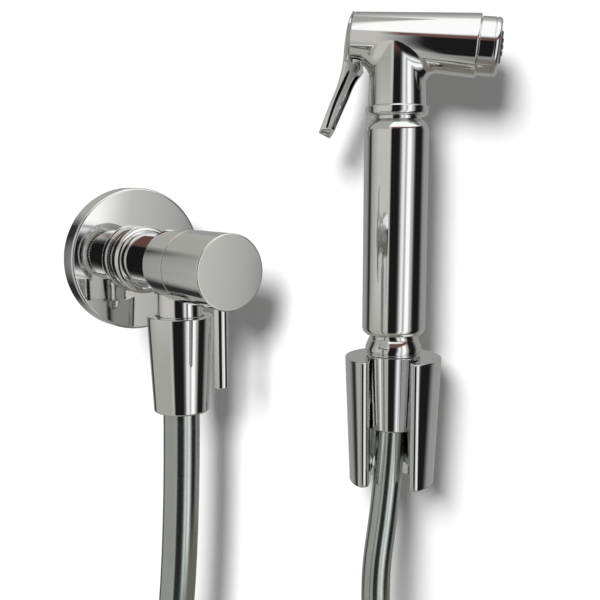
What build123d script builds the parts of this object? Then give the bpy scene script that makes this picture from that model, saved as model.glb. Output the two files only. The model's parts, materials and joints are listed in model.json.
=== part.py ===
"""Hand shower set: a wall valve, a hand spray with a lever, its cup holder and the hose between them.

Millimetres.  The origin is the middle of the holder's flat wall face, +Y into the wall, +Z up,
+X the way the spray's nozzle points.  The valve stands in front of and to the left of the holder,
turned to its own wall, as the set is pictured.
"""
from build123d import *
import os
from math import cos, pi, radians, sin, sqrt, tan

os.makedirs("parts", exist_ok=True)

# Clearances
still_gap = 0.05
running_gap = 0.3
shaft_gap = 0.05
tie_gap = 0.3

# Holder: a thick conical cup, slotted at the front, on a flat pad
holder_standoff = 26.0
cup_height = 62.5
cup_top_d = 46.5
cup_bottom_d = 41.0
cup_rim_round = 0.8
slot_width = 19.2
slot_lip_round = 2.8
pad_width = 22.0
pad_height = 46.0
pad_corner_round = 3.0
screw_spacing = 28.0
screw_thread_d = 4.0
screw_shank_d = 3.6
screw_head_d = 8.0
screw_head_height = 2.6
screw_seat_depth = 9.0
screw_reach = 28.0
screw_tip_length = 4.0
screw_head_round = 1.2
screw_cross = (4.6, 1.0, 2.6)

# Conical hose nut and what it holds, the same at both ends of the hose
nut_length = 36.8
nut_top_d = 25.0
nut_bottom_d = 21.0
nut_edge_round = 0.9
thread_d = 20.9
thread_length = 8.7
thread_relief_d = 17.2
thread_start = 0.8
washer_thickness = 2.0
tail_flange_thickness = 2.5
tail_bore_d = 6.4
barb_d = 8.8
barb_length = 14.0
barb_rib = 0.35
barb_rib_count = 3
barb_lead = 2.0
barb_rib_land = 0.6
thread_lead = 0.6
sleeve_wall = 0.55
sleeve_length = 16.0
hose_d = 14.0

# Wall valve: lengths are measured outwards from the rosette's front face
valve_turn = 50.0
outlet_x = -70.0
outlet_y = -130.0
outlet_above_spray_nut = 51.5
outlet_station = 32.6
rosette_d = 57.2
rosette_depth = 8.0
rosette_wall = 1.4
rosette_edge_round = 1.0
shank_d = 22.0
shank_step = 1.0
step_edge_round = 0.3
collar_d = 27.0
collar_start = 2.0
collar_length = 5.4
collar_foot_round = 1.3
collar_round = 2.2
barrel_d = 27.2
barrel_start = 29.0
barrel_foot_share = 0.46
barrel_edge_share = 0.15
seam_station = 43.0
seam_gap = 0.3
handle_end = 68.0
handle_edge_round = 0.5
inlet_thread_reach = 13.0
inlet_thread_lead = 1.0
inlet_thread_hidden = 2.0
inlet_bore_d = 11.0
outlet_drop = 19.1
outlet_bore_d = 9.0

# Valve cartridge
chamber_d = 17.0
chamber_start = 23.0
gasket_thickness = 1.6
gasket_bore_d = 9.0
disc_d = 13.6
disc_thickness = 2.4
housing_flange_d = 21.0
housing_flange_thickness = 2.6
spindle_d = 8.0
spindle_drive_length = 3.4
spindle_end = 63.6
o_ring_section = 1.6
o_ring_squeeze = 0.75
o_ring_room = 1.2
housing_ring_back = 4.4
disc_rim = 1.4
disc_hub_r = 1.5
disc_window_shift = 1.2
disc_window_share = 0.42
housing_window_share = 0.6
spindle_groove_depth = 0.9
spindle_ring_gap = 3.0
drive_slot_depth = 2.0
drive_slot_share = 0.5
spline_r = 0.5
spline_length = 6.0
spline_count = 12
clip_gap = 0.2
clip_width = 1.7
clip_mouth = 4.0
clip_thickness = 0.9
handle_cavity_d = 22.4
handle_cavity_depth = 8.0
handle_socket_room = 0.6
handle_back_round = 0.2

# Lever pin of the valve handle
handle_pin_station = 61.0
handle_pin_d = 5.2
handle_pin_drop = 42.0
handle_pin_thread_d = 4.0
handle_pin_seat = 3.0
handle_pin_round = 0.9

# Hand spray: heights are measured from the top of its hose nut
spray_nut_proud = 1.0
bulb_d = 26.9
bulb_height = 8.4
bulb_foot_gap = 0.3
bulb_band_height = 0.9
bulb_edge = 0.3
bulb_line_depth = 0.35
bulb_line_rise = 0.1
bulb_line_height = 0.6
bulb_crown = (-0.05, -0.55)
bulb_crown_z = 4.9
bulb_waist_lead = (0.2, 0.5)
waist_d = 22.9
waist_height = 9.4
grip_d = 30.2
grip_foot_round = 4.1
grip_foot_slope = 0.8
grip_top_round = 6.0
grip_top_slope = 1.6
grip_top_below_axis = 36.0
grip_bore_d = 25.0
grip_thread_d = 18.0
grip_thread_length = 11.5
grip_ring_depth = 1.2
grip_ring_width = 1.6
grip_bore_slope = 3.0
grip_ring_below_top = 5.0
collar_groove_d = 22.4
bead_gap = 1.5
bead_height = 4.8
bead_d = 29.2
bead_foot_round = 1.8
bead_round = 0.9
neck_d = 27.0
neck_top_d = 24.2
neck_bore_d = 12.0
neck_fillet = 3.4

# Spray head: its axis dips towards the nozzle; stations run from the neck's axis to the nozzle
head_axis_height = 147.3
head_dip = 5.8
head_forward = 2.7
head_rear = 23.5
head_front = 34.2
head_rear_d = 22.7
head_front_d = 28.5
head_edge_round = 0.6
link_pocket_d = 12.0
link_pocket_depth = 6.3
gland_bore_d = 10.4
gland_bore_depth = 12.5
gland_nut_length = 4.0
gland_seal_length = 2.0
gland_slot_width = 1.2
gland_slot_depth = 1.0
chamber_wall = 1.9
valve_chamber_d = 15.2
seat_station = 14.0
seat_lip = 0.6
seat_hole_d = 8.4
seat_flange_station = 15.5
seat_insert_length = 5.5
seat_lip_width = 0.8
seat_wrench = (2.0, 2.5)
front_bore_d = 18.5
spigot_d = 21.0
spigot_length = 4.8
stem_d = 3.2
stem_ball_d = 4.8
stem_ball_station = 21.3
stem_flange_d = 12.4
stem_flange_thickness = 2.0
poppet_d = 12.0
poppet_thickness = 2.5
stem_button_d = 5.2
stem_button_length = 1.2
spring_mean_d = 9.4
spring_wire_d = 1.1
spring_turns = 5
spring_steps_per_turn = 4

# Nozzle
nozzle_d = 26.1
nozzle_length = 9.4
nozzle_rim_round = 1.9
nozzle_line_back = 2.6
nozzle_line_depth = 0.35
nozzle_line_half = 0.3
nozzle_seal_lap = 0.4
nozzle_lip_thickness = 1.9
nozzle_mouth_d = 18.6
spray_plate_thickness = 2.0
spray_dome_rise = 1.3
spray_dome_share = 0.75
spray_face_back = 0.3
spray_step = 1.2
spray_hole_d = 1.2
spray_ring_radii = (0.0, 3.2, 6.2)
spray_hole_counts = (1, 6, 12)

# Trigger lever: upper points are (forward of the neck, above the head's axis), lower ones go from the pivot
pivot_back = 19.4
pivot_drop = 12.5
trigger_pin_d = 2.6
pin_head_d = 4.4
pin_head_thickness = 0.5
pin_head_chamfer = 0.3
pin_dimple = (0.8, 0.3)
lug_width = 8.0
lug_round_d = 5.8
lug_behind_pivot = 1.2
lug_rise = 5.2
lever_web = 2.1
lever_top_width = 15.0
lever_pivot_width = 13.0
lever_tip_width = 11.0
lever_back_gap = 0.6
lever_top_point = (-20.6, 13.7)
lever_plate_back = [(-23.1, 6.3), (-24.5, -1.8), (-25.2, -9.5)]
lever_blade_back = [(-8.4, -7.6), (-12.0, -16.2)]
lever_tip_edge = [(-17.3, -29.4), (-12.5, -31.8)]
lever_blade_front = [(-4.8, -14.4), (0.2, -4.2)]
lever_heel = (2.9, -0.9)
lever_shoulder = (2.4, 1.1)
lever_face_foot = -9.5
lever_face_top = 12.6
lever_tip_solid = -27.3
lever_channel_over = 0.5
lever_groove = [(-4.0, -1.6), (-7.2, -8.0), (-10.2, -14.8), (-13.4, -23.0), (-9.0, -14.2), (-6.0, -7.6),
                (-2.8, -1.0)]
lever_groove_floor = 5.2
lever_tip_over = 1.0
yoke_overlap = 1.0
yoke_slot_over = 0.3
yoke_width = 8.4
yoke_height = 6.0
yoke_front_station = 18.2
yoke_wall_station = 19.35
yoke_neck_slot = 3.8
yoke_ball_slot = 5.4

# Inlet filter in the foot of the spray
filter_d = 14.0
filter_thickness = 1.0
filter_hole_d = 1.6
filter_ring_radii = (0.0, 3.6)
filter_hole_counts = (1, 6)

# Hose: two free legs and the put-away turns between them
coil_radius = 74.0
coil_turns = 1.5
coil_pitch = 15.4
coil_centre_z = -213.0
coil_from_outlet = 60.0
valve_leg_bend_z = (-45.0, -141.0)
spray_leg_bend_z = (-22.0, -98.0, -165.0)
spray_leg_drift = (-8.4, -46.0)
tie_width = 6.0
tie_thickness = 0.9
tie_angles = (50.0, 130.0)

# Places that follow from the sizes above
flange_top = -thread_start - thread_length - washer_thickness - still_gap
nut_shoulder = -flange_top + tail_flange_thickness + still_gap
cup_top_z = cup_height / 2
spray_nut_z = cup_top_z + spray_nut_proud
spray_axis = Vector(0, -holder_standoff, 0)
outlet_z = spray_nut_z + outlet_above_spray_nut
valve_way = Vector(sin(radians(valve_turn)), -cos(radians(valve_turn)), 0)
valve_side = Vector(cos(radians(valve_turn)), sin(radians(valve_turn)), 0)
outlet_centre = Vector(outlet_x, outlet_y, outlet_z)
rosette_centre = outlet_centre - valve_way * outlet_station
valve_axis = Plane(origin=rosette_centre, x_dir=valve_side, z_dir=valve_way)
valve_nut_z = outlet_z - outlet_drop
head_way = Vector(cos(radians(head_dip)), 0, -sin(radians(head_dip)))
head_centre = spray_axis + Vector(0, 0, spray_nut_z + head_axis_height)
grip_top = head_axis_height - grip_top_below_axis
bead_bottom = grip_top + bead_gap
pivot_height = head_axis_height - pivot_drop
grip_ring_z = grip_top - grip_ring_below_top
head_origin = head_centre + head_way * head_forward
head_axis = Plane(origin=head_origin, x_dir=Vector(0, 1, 0), z_dir=head_way)
spray_frame = Pos(0, -holder_standoff, spray_nut_z)


def lathe(points, rounds=()):
    """A solid turned about Z from (radius, height) corners; rounds lists (corner, radius)."""
    outline = make_face(Polyline(*points, close=True))
    for corner, radius in rounds:
        spot = Vector(*points[corner])
        outline = fillet(outline.vertices().sort_by_distance(spot)[0], radius)
    return revolve(Plane.XZ * outline, Axis.Z)


def tube(outer_d, inner_d, low, high):
    """A plain ring about Z."""
    return lathe([(inner_d / 2, low), (outer_d / 2, low), (outer_d / 2, high), (inner_d / 2, high)])


def rod(diameter, low, high):
    """A plain round bar about Z."""
    return Pos(0, 0, (low + high) / 2) * Cylinder(diameter / 2, high - low)


def seal_ring(inner_d, section, station):
    """A round-section sealing ring about Z."""
    return Pos(0, 0, station) * Torus(inner_d / 2 + section / 2, section / 2)


def biarc(start, start_way, end, end_way):
    """Two arcs that join two points and leave along the two given directions."""
    chord = end - start
    ways = start_way + end_way
    closing = 2 * (1 - start_way.dot(end_way))
    reach = (sqrt(chord.dot(ways) ** 2 + closing * chord.dot(chord)) - chord.dot(ways)) / closing
    first, last = start + start_way * reach, end - end_way * reach
    middle = (first + last) / 2
    return [TangentArc([start, middle], tangent=start_way), TangentArc([middle, end], tangent=last - first)]


def turns_path(centre, radius, pitch, turns, across, along, steps_per_turn, end_ways=None):
    """A coil's middle line on biarcs: it starts at centre - across and turns towards -(across x along)."""
    down = across.cross(along)
    places, ways = [], []
    steps = round(turns * steps_per_turn)
    for step in range(steps + 1):
        angle = 2 * pi * step / steps_per_turn
        shift = pitch * (step / steps_per_turn - turns / 2)
        places.append(centre - across * radius * cos(angle) + down * radius * sin(angle) + along * shift)
        way = across * radius * sin(angle) + down * radius * cos(angle) + along * pitch / (2 * pi)
        ways.append(way.normalized())
    if end_ways:
        ways[0], ways[-1] = end_ways
    edges = []
    for a, b, way_a, way_b in zip(places, places[1:], ways, ways[1:]):
        edges += biarc(a, way_a, b, way_b)
    return Wire(edges), places, ways


def cord_path(name, points):
    """Straight runs joined by arcs as large as the runs allow."""
    radii = []
    for before, corner, after in zip(points, points[1:], points[2:]):
        arriving, leaving = Vector(*corner) - Vector(*before), Vector(*after) - Vector(*corner)
        half_turn = radians(arriving.get_angle(leaving) / 2)
        radii.append(0.45 * min(arriving.length, leaving.length) / tan(half_turn))
    print(name, "radii", [round(radius) for radius in radii])
    return FilletPolyline(*points, radius=radii)


def swept_tube(path, start, way, diameter):
    """A round solid along a path, square to its start."""
    return sweep(Plane(origin=start, z_dir=way) * Circle(diameter / 2), path=path)


def hose_nut():
    """Long conical nut: thread at the top, a shoulder for the hose tail, a plain bore to the foot."""
    bore_r = hose_d / 2 + sleeve_wall + still_gap + running_gap
    thread_r = thread_d / 2 + still_gap
    corners = [(thread_r, 0), (nut_top_d / 2, 0), (nut_bottom_d / 2, -nut_length), (bore_r, -nut_length),
               (bore_r, -nut_shoulder), (thread_r, -nut_shoulder)]
    return lathe(corners, [(1, nut_edge_round / 2), (2, nut_edge_round)])


def hose_washer():
    """Flat rubber washer between the thread's end and the hose tail."""
    top = -thread_start - thread_length
    return tube(thread_d - 2 * running_gap, tail_bore_d + 1, top - washer_thickness, top)


def hose_tail():
    """Flanged brass tail with a ribbed barb that the hose is pushed over."""
    top = flange_top
    foot = top - tail_flange_thickness
    rib = barb_d / 2 + barb_rib
    corners = [(tail_bore_d / 2, top), (thread_d / 2 - running_gap, top), (thread_d / 2 - running_gap, foot),
               (barb_d / 2, foot)]
    rib_pitch = (barb_length - barb_lead) / barb_rib_count
    for count in range(barb_rib_count):
        high = foot - barb_lead - rib_pitch * count - (1 - barb_rib_land)
        low = high - rib_pitch + 1
        corners += [(barb_d / 2, high - barb_rib_land), (rib, high - barb_rib_land), (barb_d / 2, low)]
    corners += [(barb_d / 2, foot - barb_length), (tail_bore_d / 2, foot - barb_length)]
    return lathe(corners)


def crimp_sleeve():
    """Thin steel sleeve pressed round the hose over the barb."""
    inner_d = hose_d + 2 * still_gap
    top = -nut_shoulder - still_gap
    return tube(inner_d + 2 * sleeve_wall, inner_d, top - sleeve_length, top)


def barb_socket():
    """The room that the barb takes inside the hose's end."""
    top = -nut_shoulder
    return rod(barb_d + 2 * barb_rib + 2 * still_gap, top - barb_length - 2 * still_gap, top)


def male_thread(relief_d, relief_top):
    """A plain thread blank and the relief above it, both without their bore."""
    low = -thread_start - thread_length
    thread_r = thread_d / 2
    corners = [(0, low), (thread_r - thread_lead, low), (thread_r, low + thread_lead),
               (thread_r, -thread_start), (relief_d / 2, -thread_start), (relief_d / 2, relief_top),
               (0, relief_top)]
    return lathe(corners)


def holder():
    """Slotted cup on its wall pad, bored to the nut's cone, with two sunk screw seats."""
    corners = [(0, -cup_top_z), (cup_bottom_d / 2, -cup_top_z), (cup_top_d / 2, cup_top_z), (0, cup_top_z)]
    cone = lathe(corners)
    cone -= Pos(0, -cup_top_d / 2, 0) * Box(slot_width, cup_top_d, cup_height + 2)
    upright = [edge for edge in cone.edges() if edge.length > 0.9 * cup_height]
    lips = [edge for edge in upright if edge.center().Y < -slot_width / 2]
    beyond = [(0, -cup_height), (cup_top_d, -cup_height), (cup_top_d, cup_height), (0, cup_height)]
    rims = lathe(beyond) - lathe(corners, [(1, cup_rim_round), (2, cup_rim_round)])
    cup = Pos(*spray_axis) * (fillet(lips, slot_lip_round) - rims)
    pad = Pos(0, -holder_standoff / 2, 0) * Box(pad_width, holder_standoff, pad_height)
    cup += fillet(pad.edges().filter_by(Axis.Y), pad_corner_round)
    nut_foot_z = spray_nut_z - nut_length
    throat_r = nut_bottom_d / 2 + running_gap
    nut_taper = (nut_top_d - nut_bottom_d) / nut_length
    mouth_r = (nut_bottom_d + nut_taper * (cup_top_z - nut_foot_z)) / 2 + running_gap
    bore = lathe([(0, -cup_top_z - 1), (throat_r, -cup_top_z - 1), (throat_r, nut_foot_z),
                  (mouth_r, cup_top_z), (mouth_r, cup_top_z + 1), (0, cup_top_z + 1)])
    cup -= Pos(*spray_axis) * bore
    cup -= Pos(0, -holder_standoff - cup_top_d / 2, 0) * Box(slot_width, cup_top_d, cup_height + 2)
    for height in (-screw_spacing / 2, screw_spacing / 2):
        seat = rod(screw_head_d + 2 * running_gap, screw_seat_depth, holder_standoff)
        shank = rod(screw_thread_d + 2 * running_gap, -1, screw_seat_depth + 1)
        cup -= Pos(0, 0, height) * Rot(90, 0, 0) * (seat + shank)
    return cup


def holder_screw_pair():
    """Two pan-head screws from inside the cup into the wall."""
    thread_r, shank_r, head_r = screw_thread_d / 2, screw_shank_d / 2, screw_head_d / 2
    head_low = screw_seat_depth + still_gap
    head_high = head_low + screw_head_height
    screw = lathe([(0, -screw_reach), (thread_r, -screw_reach + screw_tip_length), (thread_r, 0),
                   (shank_r, 0), (shank_r, head_low), (head_r, head_low), (head_r, head_high),
                   (0, head_high)], [(6, screw_head_round)])
    length, width, depth = screw_cross
    cross = Pos(0, 0, head_high) * (Box(length, width, depth) + Box(width, length, depth))
    screw = Rot(90, 0, 0) * (screw - cross)
    return Pos(0, 0, -screw_spacing / 2) * screw + Pos(0, 0, screw_spacing / 2) * screw


def rosette():
    """Pressed wall rosette: a flat face, a deep rim and a hole for the shank."""
    outer, wall = rosette_d / 2, rosette_wall
    hole = shank_d / 2 + running_gap
    corners = [(hole, 0), (outer, 0), (outer, -rosette_depth), (outer - wall, -rosette_depth),
               (outer - wall, -wall), (hole, -wall)]
    return valve_axis * lathe(corners, [(1, rosette_edge_round), (4, rosette_edge_round / 2)])


def valve_body():
    """One casting: threaded inlet, shank, collar, barrel and the downward outlet."""
    thread_r = thread_d / 2
    inlet_end = -rosette_depth - inlet_thread_reach
    collar_end = collar_start + collar_length
    step_r = shank_d / 2 + shank_step
    barrel_step = (barrel_d - shank_d) / 2
    thread_top = -rosette_depth + inlet_thread_hidden
    corners = [(0, inlet_end), (thread_r - inlet_thread_lead, inlet_end),
               (thread_r, inlet_end + inlet_thread_lead), (thread_r, thread_top),
               (shank_d / 2, thread_top), (shank_d / 2, still_gap), (step_r, still_gap),
               (step_r, collar_start), (collar_d / 2, collar_start),
               (collar_d / 2, collar_end), (shank_d / 2, collar_end), (shank_d / 2, barrel_start),
               (barrel_d / 2, barrel_start), (barrel_d / 2, seam_station), (0, seam_station)]
    rounds = [(6, step_edge_round), (8, collar_foot_round), (9, collar_round),
              (11, barrel_foot_share * barrel_step), (12, barrel_edge_share * barrel_step)]
    casting = lathe(corners, rounds)
    chamber = rod(chamber_d, chamber_start, seam_station + 1)
    inlet = rod(inlet_bore_d, inlet_end - 1, chamber_start + 1)
    body = valve_axis * casting
    outlet = Pos(*outlet_centre) * (Pos(0, 0, -outlet_drop) * male_thread(thread_relief_d, outlet_drop))
    body += outlet
    body -= valve_axis * (chamber + inlet)
    drop = outlet_drop + thread_start + thread_length
    return body - Pos(*outlet_centre) * rod(outlet_bore_d, -drop - 1, 0)


gasket_top = chamber_start + gasket_thickness
fixed_disc_top = gasket_top + disc_thickness
rotary_disc_top = fixed_disc_top + disc_thickness
drive_top = rotary_disc_top + spindle_drive_length
housing_d = chamber_d - 2 * still_gap
housing_bore_d = disc_d + 2 * shaft_gap
housing_foot = seam_station + still_gap
housing_top = housing_foot + housing_flange_thickness
housing_ring = seam_station - housing_ring_back
housing_groove = o_ring_squeeze * o_ring_section
spindle_groove_r = spindle_d / 2 - spindle_groove_depth
spindle_ring_low = drive_top + spindle_ring_gap
spindle_ring_high = spindle_ring_low + o_ring_section
clip_low = housing_top + clip_gap
clip_high = clip_low + clip_thickness + 2 * still_gap


def seat_gasket():
    """Rubber gasket that seals the cartridge to the inlet."""
    return valve_axis * tube(disc_d, gasket_bore_d, chamber_start, gasket_top)


def disc_windows():
    """Two opposite quarter openings of a ceramic disc."""
    wedge = Pos(disc_d / 4 + disc_window_shift, 0) * Rectangle(disc_d / 2, disc_d * disc_window_share)
    ring = Circle(disc_d / 2 - disc_rim) - Circle(disc_hub_r)
    return (wedge & ring) + (Rot(0, 0, 180) * wedge & ring)


def ceramic_disc(bottom, turned):
    """Ceramic disc with two windows; turned says how far they are rotated."""
    disc = rod(disc_d - 2 * still_gap, bottom, bottom + disc_thickness)
    windows = Pos(0, 0, bottom - 1) * extrude(Rot(0, 0, turned) * disc_windows(), disc_thickness + 2)
    return valve_axis * (disc - windows)


def cartridge_housing():
    """Brass headwork: a windowed cage for the discs, a spindle guide and a flange."""
    guide_r, cage_r, outer_r = spindle_d / 2 + shaft_gap, housing_bore_d / 2, housing_d / 2
    groove_r = outer_r - housing_groove
    ring_room = o_ring_room * o_ring_section / 2
    ring_low, ring_high = housing_ring - ring_room, housing_ring + ring_room
    flange_r = housing_flange_d / 2
    corners = [(cage_r, gasket_top), (outer_r, gasket_top), (outer_r, ring_low), (groove_r, ring_low),
               (groove_r, ring_high), (outer_r, ring_high), (outer_r, housing_foot),
               (flange_r, housing_foot), (flange_r, housing_top), (guide_r, housing_top),
               (guide_r, drive_top + shaft_gap), (cage_r, drive_top + shaft_gap)]
    length, width, height = chamber_d + 2, disc_d * housing_window_share, spindle_drive_length
    window = Box(length, width, height) + Box(width, length, height)
    return valve_axis * (lathe(corners) - Pos(0, 0, rotary_disc_top + height / 2) * window)


def cartridge_o_ring():
    """O-ring between the headwork and the casting's chamber."""
    groove_d = housing_d - 2 * housing_groove
    section = (chamber_d - groove_d) / 2 - 2 * still_gap
    return valve_axis * seal_ring(groove_d + 2 * still_gap, section, housing_ring)


def spindle():
    """Brass spindle: a drive head with a passage, a plain stem with ring grooves, a splined end."""
    stem_r, drive_r = spindle_d / 2, disc_d / 2 - shaft_gap
    corners = [(0, rotary_disc_top), (drive_r, rotary_disc_top), (drive_r, drive_top), (stem_r, drive_top),
               (stem_r, spindle_ring_low), (spindle_groove_r, spindle_ring_low),
               (spindle_groove_r, spindle_ring_high), (stem_r, spindle_ring_high), (stem_r, clip_low),
               (spindle_groove_r, clip_low), (spindle_groove_r, clip_high), (stem_r, clip_high),
               (stem_r, spindle_end), (0, spindle_end)]
    passage = Box(disc_d * drive_slot_share, 2 * disc_d, 2 * drive_slot_depth)
    bar = lathe(corners) - Pos(0, 0, rotary_disc_top) * passage
    spline = Pos(stem_r + spline_r / 2, 0, spindle_end) * Cylinder(spline_r, 2 * spline_length)
    for count in range(spline_count):
        bar -= Rot(0, 0, 360 * (count + 0.5) / spline_count) * spline
    return valve_axis * bar


def spindle_o_ring():
    """O-ring in the spindle's groove."""
    section = spindle_d / 2 + shaft_gap - spindle_groove_r - 2 * still_gap
    middle = (spindle_ring_low + spindle_ring_high) / 2
    return valve_axis * seal_ring(2 * (spindle_groove_r + still_gap), section, middle)


def retaining_ring():
    """Open circlip that keeps the spindle in the headwork."""
    low = clip_low + still_gap
    clip = tube(spindle_d + 2 * clip_width, 2 * (spindle_groove_r + still_gap), low, low + clip_thickness)
    return valve_axis * (clip - Pos(0, spindle_d, low) * Box(clip_mouth, 2 * spindle_d, clip_mouth))


def valve_handle():
    """Cylindrical quarter-turn handle, hollow at the back, with a socket for the spindle."""
    cavity_end = seam_station + handle_cavity_depth
    socket_r = spindle_d / 2 + still_gap
    socket_end = spindle_end + handle_socket_room
    corners = [(socket_r, socket_end), (socket_r, cavity_end), (handle_cavity_d / 2, cavity_end),
               (handle_cavity_d / 2, seam_station + seam_gap), (barrel_d / 2, seam_station + seam_gap),
               (barrel_d / 2, handle_end), (0, handle_end), (0, socket_end)]
    handle = lathe(corners, [(5, handle_edge_round), (4, handle_back_round)])
    pin_r = handle_pin_d / 2 + still_gap
    hole = rod(handle_pin_thread_d + 2 * still_gap, 0, barrel_d)
    hole += rod(2 * pin_r, barrel_d / 2 - handle_pin_seat, barrel_d)
    return valve_axis * (handle - Pos(0, 0, handle_pin_station) * Rot(90, 0, 0) * hole)


def handle_pin():
    """Turned lever pin: its threaded end bears on the spindle and locks the handle to it."""
    grip_r, thread_r = handle_pin_d / 2, handle_pin_thread_d / 2
    step = barrel_d / 2 - handle_pin_seat + still_gap
    corners = [(0, spindle_d / 2 + still_gap), (thread_r, spindle_d / 2 + still_gap), (thread_r, step),
               (grip_r, step), (grip_r, handle_pin_drop), (0, handle_pin_drop)]
    pin = lathe(corners, [(4, handle_pin_round)])
    return valve_axis * (Pos(0, 0, handle_pin_station) * Rot(90, 0, 0) * pin)


def end_fitting():
    """Foot of the spray: hose thread, banded bulb, and the spigot that screws into the grip."""
    bulb_r, waist_r = bulb_d / 2, waist_d / 2
    band_top = bulb_foot_gap + bulb_band_height
    spigot_top = waist_height + grip_thread_length - 1
    spigot_r = grip_thread_d / 2
    line_r = bulb_r - bulb_line_depth
    line_top = band_top + bulb_line_height
    crown_start = (bulb_r + bulb_crown[0], line_top)
    crown_end = (waist_r + bulb_waist_lead[0], bulb_height - bulb_waist_lead[1])
    edge = Polyline((0, bulb_foot_gap), (bulb_r - bulb_edge, bulb_foot_gap),
                    (bulb_r, bulb_foot_gap + bulb_edge), (bulb_r, band_top),
                    (line_r, band_top + bulb_line_rise), (line_r, line_top - 2.5 * bulb_line_rise),
                    crown_start)
    crown = Spline(crown_start, (bulb_r + bulb_crown[1], bulb_crown_z), crown_end,
                   tangents=[(0, 1), (-1, 0.5)])
    rest = Polyline(crown_end, (waist_r, bulb_height), (waist_r, waist_height),
                    (spigot_r, waist_height), (spigot_r, spigot_top), (0, spigot_top), (0, bulb_foot_gap))
    fitting = revolve(Plane.XZ * make_face([*edge.edges(), *crown.edges(), *rest.edges()]), Axis.Z)
    fitting += male_thread(thread_relief_d, bulb_foot_gap + 1)
    foot = -thread_start - thread_length
    fitting -= rod(tail_bore_d + 2, foot - 1, spigot_top + 1)
    fitting -= rod(filter_d + 2 * still_gap, foot - 1, foot + filter_thickness + still_gap)
    return spray_frame * fitting


def drilled(disc, ring_radii, hole_counts, hole_d, low, high):
    """A disc with rings of holes."""
    for ring_r, count in zip(ring_radii, hole_counts):
        for number in range(count):
            disc -= Rot(0, 0, 360 * number / count) * Pos(ring_r, 0, 0) * rod(hole_d, low, high)
    return disc


def inlet_filter():
    """Drilled strainer in the foot's mouth."""
    foot = -thread_start - thread_length
    disc = rod(filter_d, foot, foot + filter_thickness)
    return spray_frame * drilled(disc, filter_ring_radii, filter_hole_counts, filter_hole_d, foot - 1,
                                 foot + filter_thickness + 1)


def grip():
    """Tubular grip with rounded shoulders and a threaded bore at each end."""
    waist_r, top_r, outer_r, bore_r = waist_d / 2, collar_groove_d / 2, grip_d / 2, grip_bore_d / 2
    thread_r = grip_thread_d / 2 + still_gap
    wall_low = waist_height + grip_thread_length + grip_bore_slope
    wall_high = grip_top - grip_thread_length - grip_bore_slope
    corners = [(thread_r, waist_height), (waist_r, waist_height), (outer_r, waist_height + grip_foot_slope),
               (outer_r, grip_top - grip_top_slope), (top_r, grip_top), (thread_r, grip_top),
               (thread_r, wall_high + grip_bore_slope), (bore_r, wall_high), (bore_r, wall_low),
               (thread_r, wall_low - grip_bore_slope)]
    return spray_frame * lathe(corners, [(2, grip_foot_round), (3, grip_top_round)])


def grip_o_ring():
    """O-ring on the head's spigot, inside the grip's top."""
    section = grip_ring_depth - still_gap
    return spray_frame * seal_ring(grip_thread_d - 2 * grip_ring_depth + 2 * still_gap, section, grip_ring_z)


def head():
    """Spray head casting: neck with its bead, conical barrel and the lug for the trigger."""
    spigot_r, groove_r, bead_r, neck_r = grip_thread_d / 2, collar_groove_d / 2, bead_d / 2, neck_d / 2
    spigot_low = grip_top - grip_thread_length + 1
    ring_low, ring_high = grip_ring_z - grip_ring_width / 2, grip_ring_z + grip_ring_width / 2
    ring_r = spigot_r - grip_ring_depth
    bead_top = bead_bottom + bead_height
    corners = [(0, spigot_low), (spigot_r, spigot_low), (spigot_r, ring_low), (ring_r, ring_low),
               (ring_r, ring_high), (spigot_r, ring_high), (spigot_r, grip_top), (groove_r, grip_top),
               (groove_r, bead_bottom), (bead_r, bead_bottom), (bead_r, bead_top), (neck_r, bead_top),
               (neck_top_d / 2, head_axis_height), (0, head_axis_height)]
    neck = lathe(corners, [(9, bead_foot_round), (10, bead_round)])
    rear_r, front_r = head_rear_d / 2, head_front_d / 2
    barrel = lathe([(0, -head_rear), (rear_r, -head_rear), (front_r, head_front), (spigot_d / 2, head_front),
                    (spigot_d / 2, head_front + spigot_length), (0, head_front + spigot_length)],
                   [(1, head_edge_round), (2, head_edge_round)])
    casting = spray_frame * neck + head_axis * barrel
    meet = [edge for edge in casting.edges() if edge.geom_type not in (GeomType.CIRCLE, GeomType.LINE)]
    casting = fillet(meet, neck_fillet)
    lug = Pos(-pivot_back, 0, pivot_height) * Rot(90, 0, 0) * rod(lug_round_d, -lug_width / 2, lug_width / 2)
    lug_front = pivot_back - lug_round_d / 2
    lug_back = pivot_back + lug_behind_pivot
    lug_place = Pos(-(lug_back + lug_front) / 2, 0, pivot_height + lug_rise / 2)
    lug += lug_place * Box(lug_back - lug_front, lug_width, lug_rise)
    casting += spray_frame * lug
    bores = rod(link_pocket_d, -head_rear - 1, -head_rear + link_pocket_depth)
    bores += rod(gland_bore_d, -head_rear, -head_rear + gland_bore_depth)
    bores += rod(stem_d + 2 * shaft_gap, -head_rear, 0)
    bores += rod(valve_chamber_d, -head_rear + gland_bore_depth + chamber_wall, seat_flange_station + 0.5)
    bores += rod(front_bore_d, seat_flange_station, head_front + spigot_length + 1)
    casting -= head_axis * bores
    casting -= spray_frame * rod(neck_bore_d, spigot_low - 1, head_axis_height)
    pin_hole = Pos(-pivot_back, 0, pivot_height) * Rot(90, 0, 0) * rod(trigger_pin_d, -lug_width, lug_width)
    return casting - spray_frame * pin_hole


def gland_nut():
    """Screwed gland that presses the stem's packing."""
    low = -head_rear + gland_bore_depth - gland_seal_length - gland_nut_length
    nut = tube(gland_bore_d - 2 * still_gap, stem_d + 2 * shaft_gap, low, low + gland_nut_length)
    return head_axis * (nut - Pos(0, 0, low) * Box(gland_bore_d + 1, gland_slot_width, 2 * gland_slot_depth))


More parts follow.
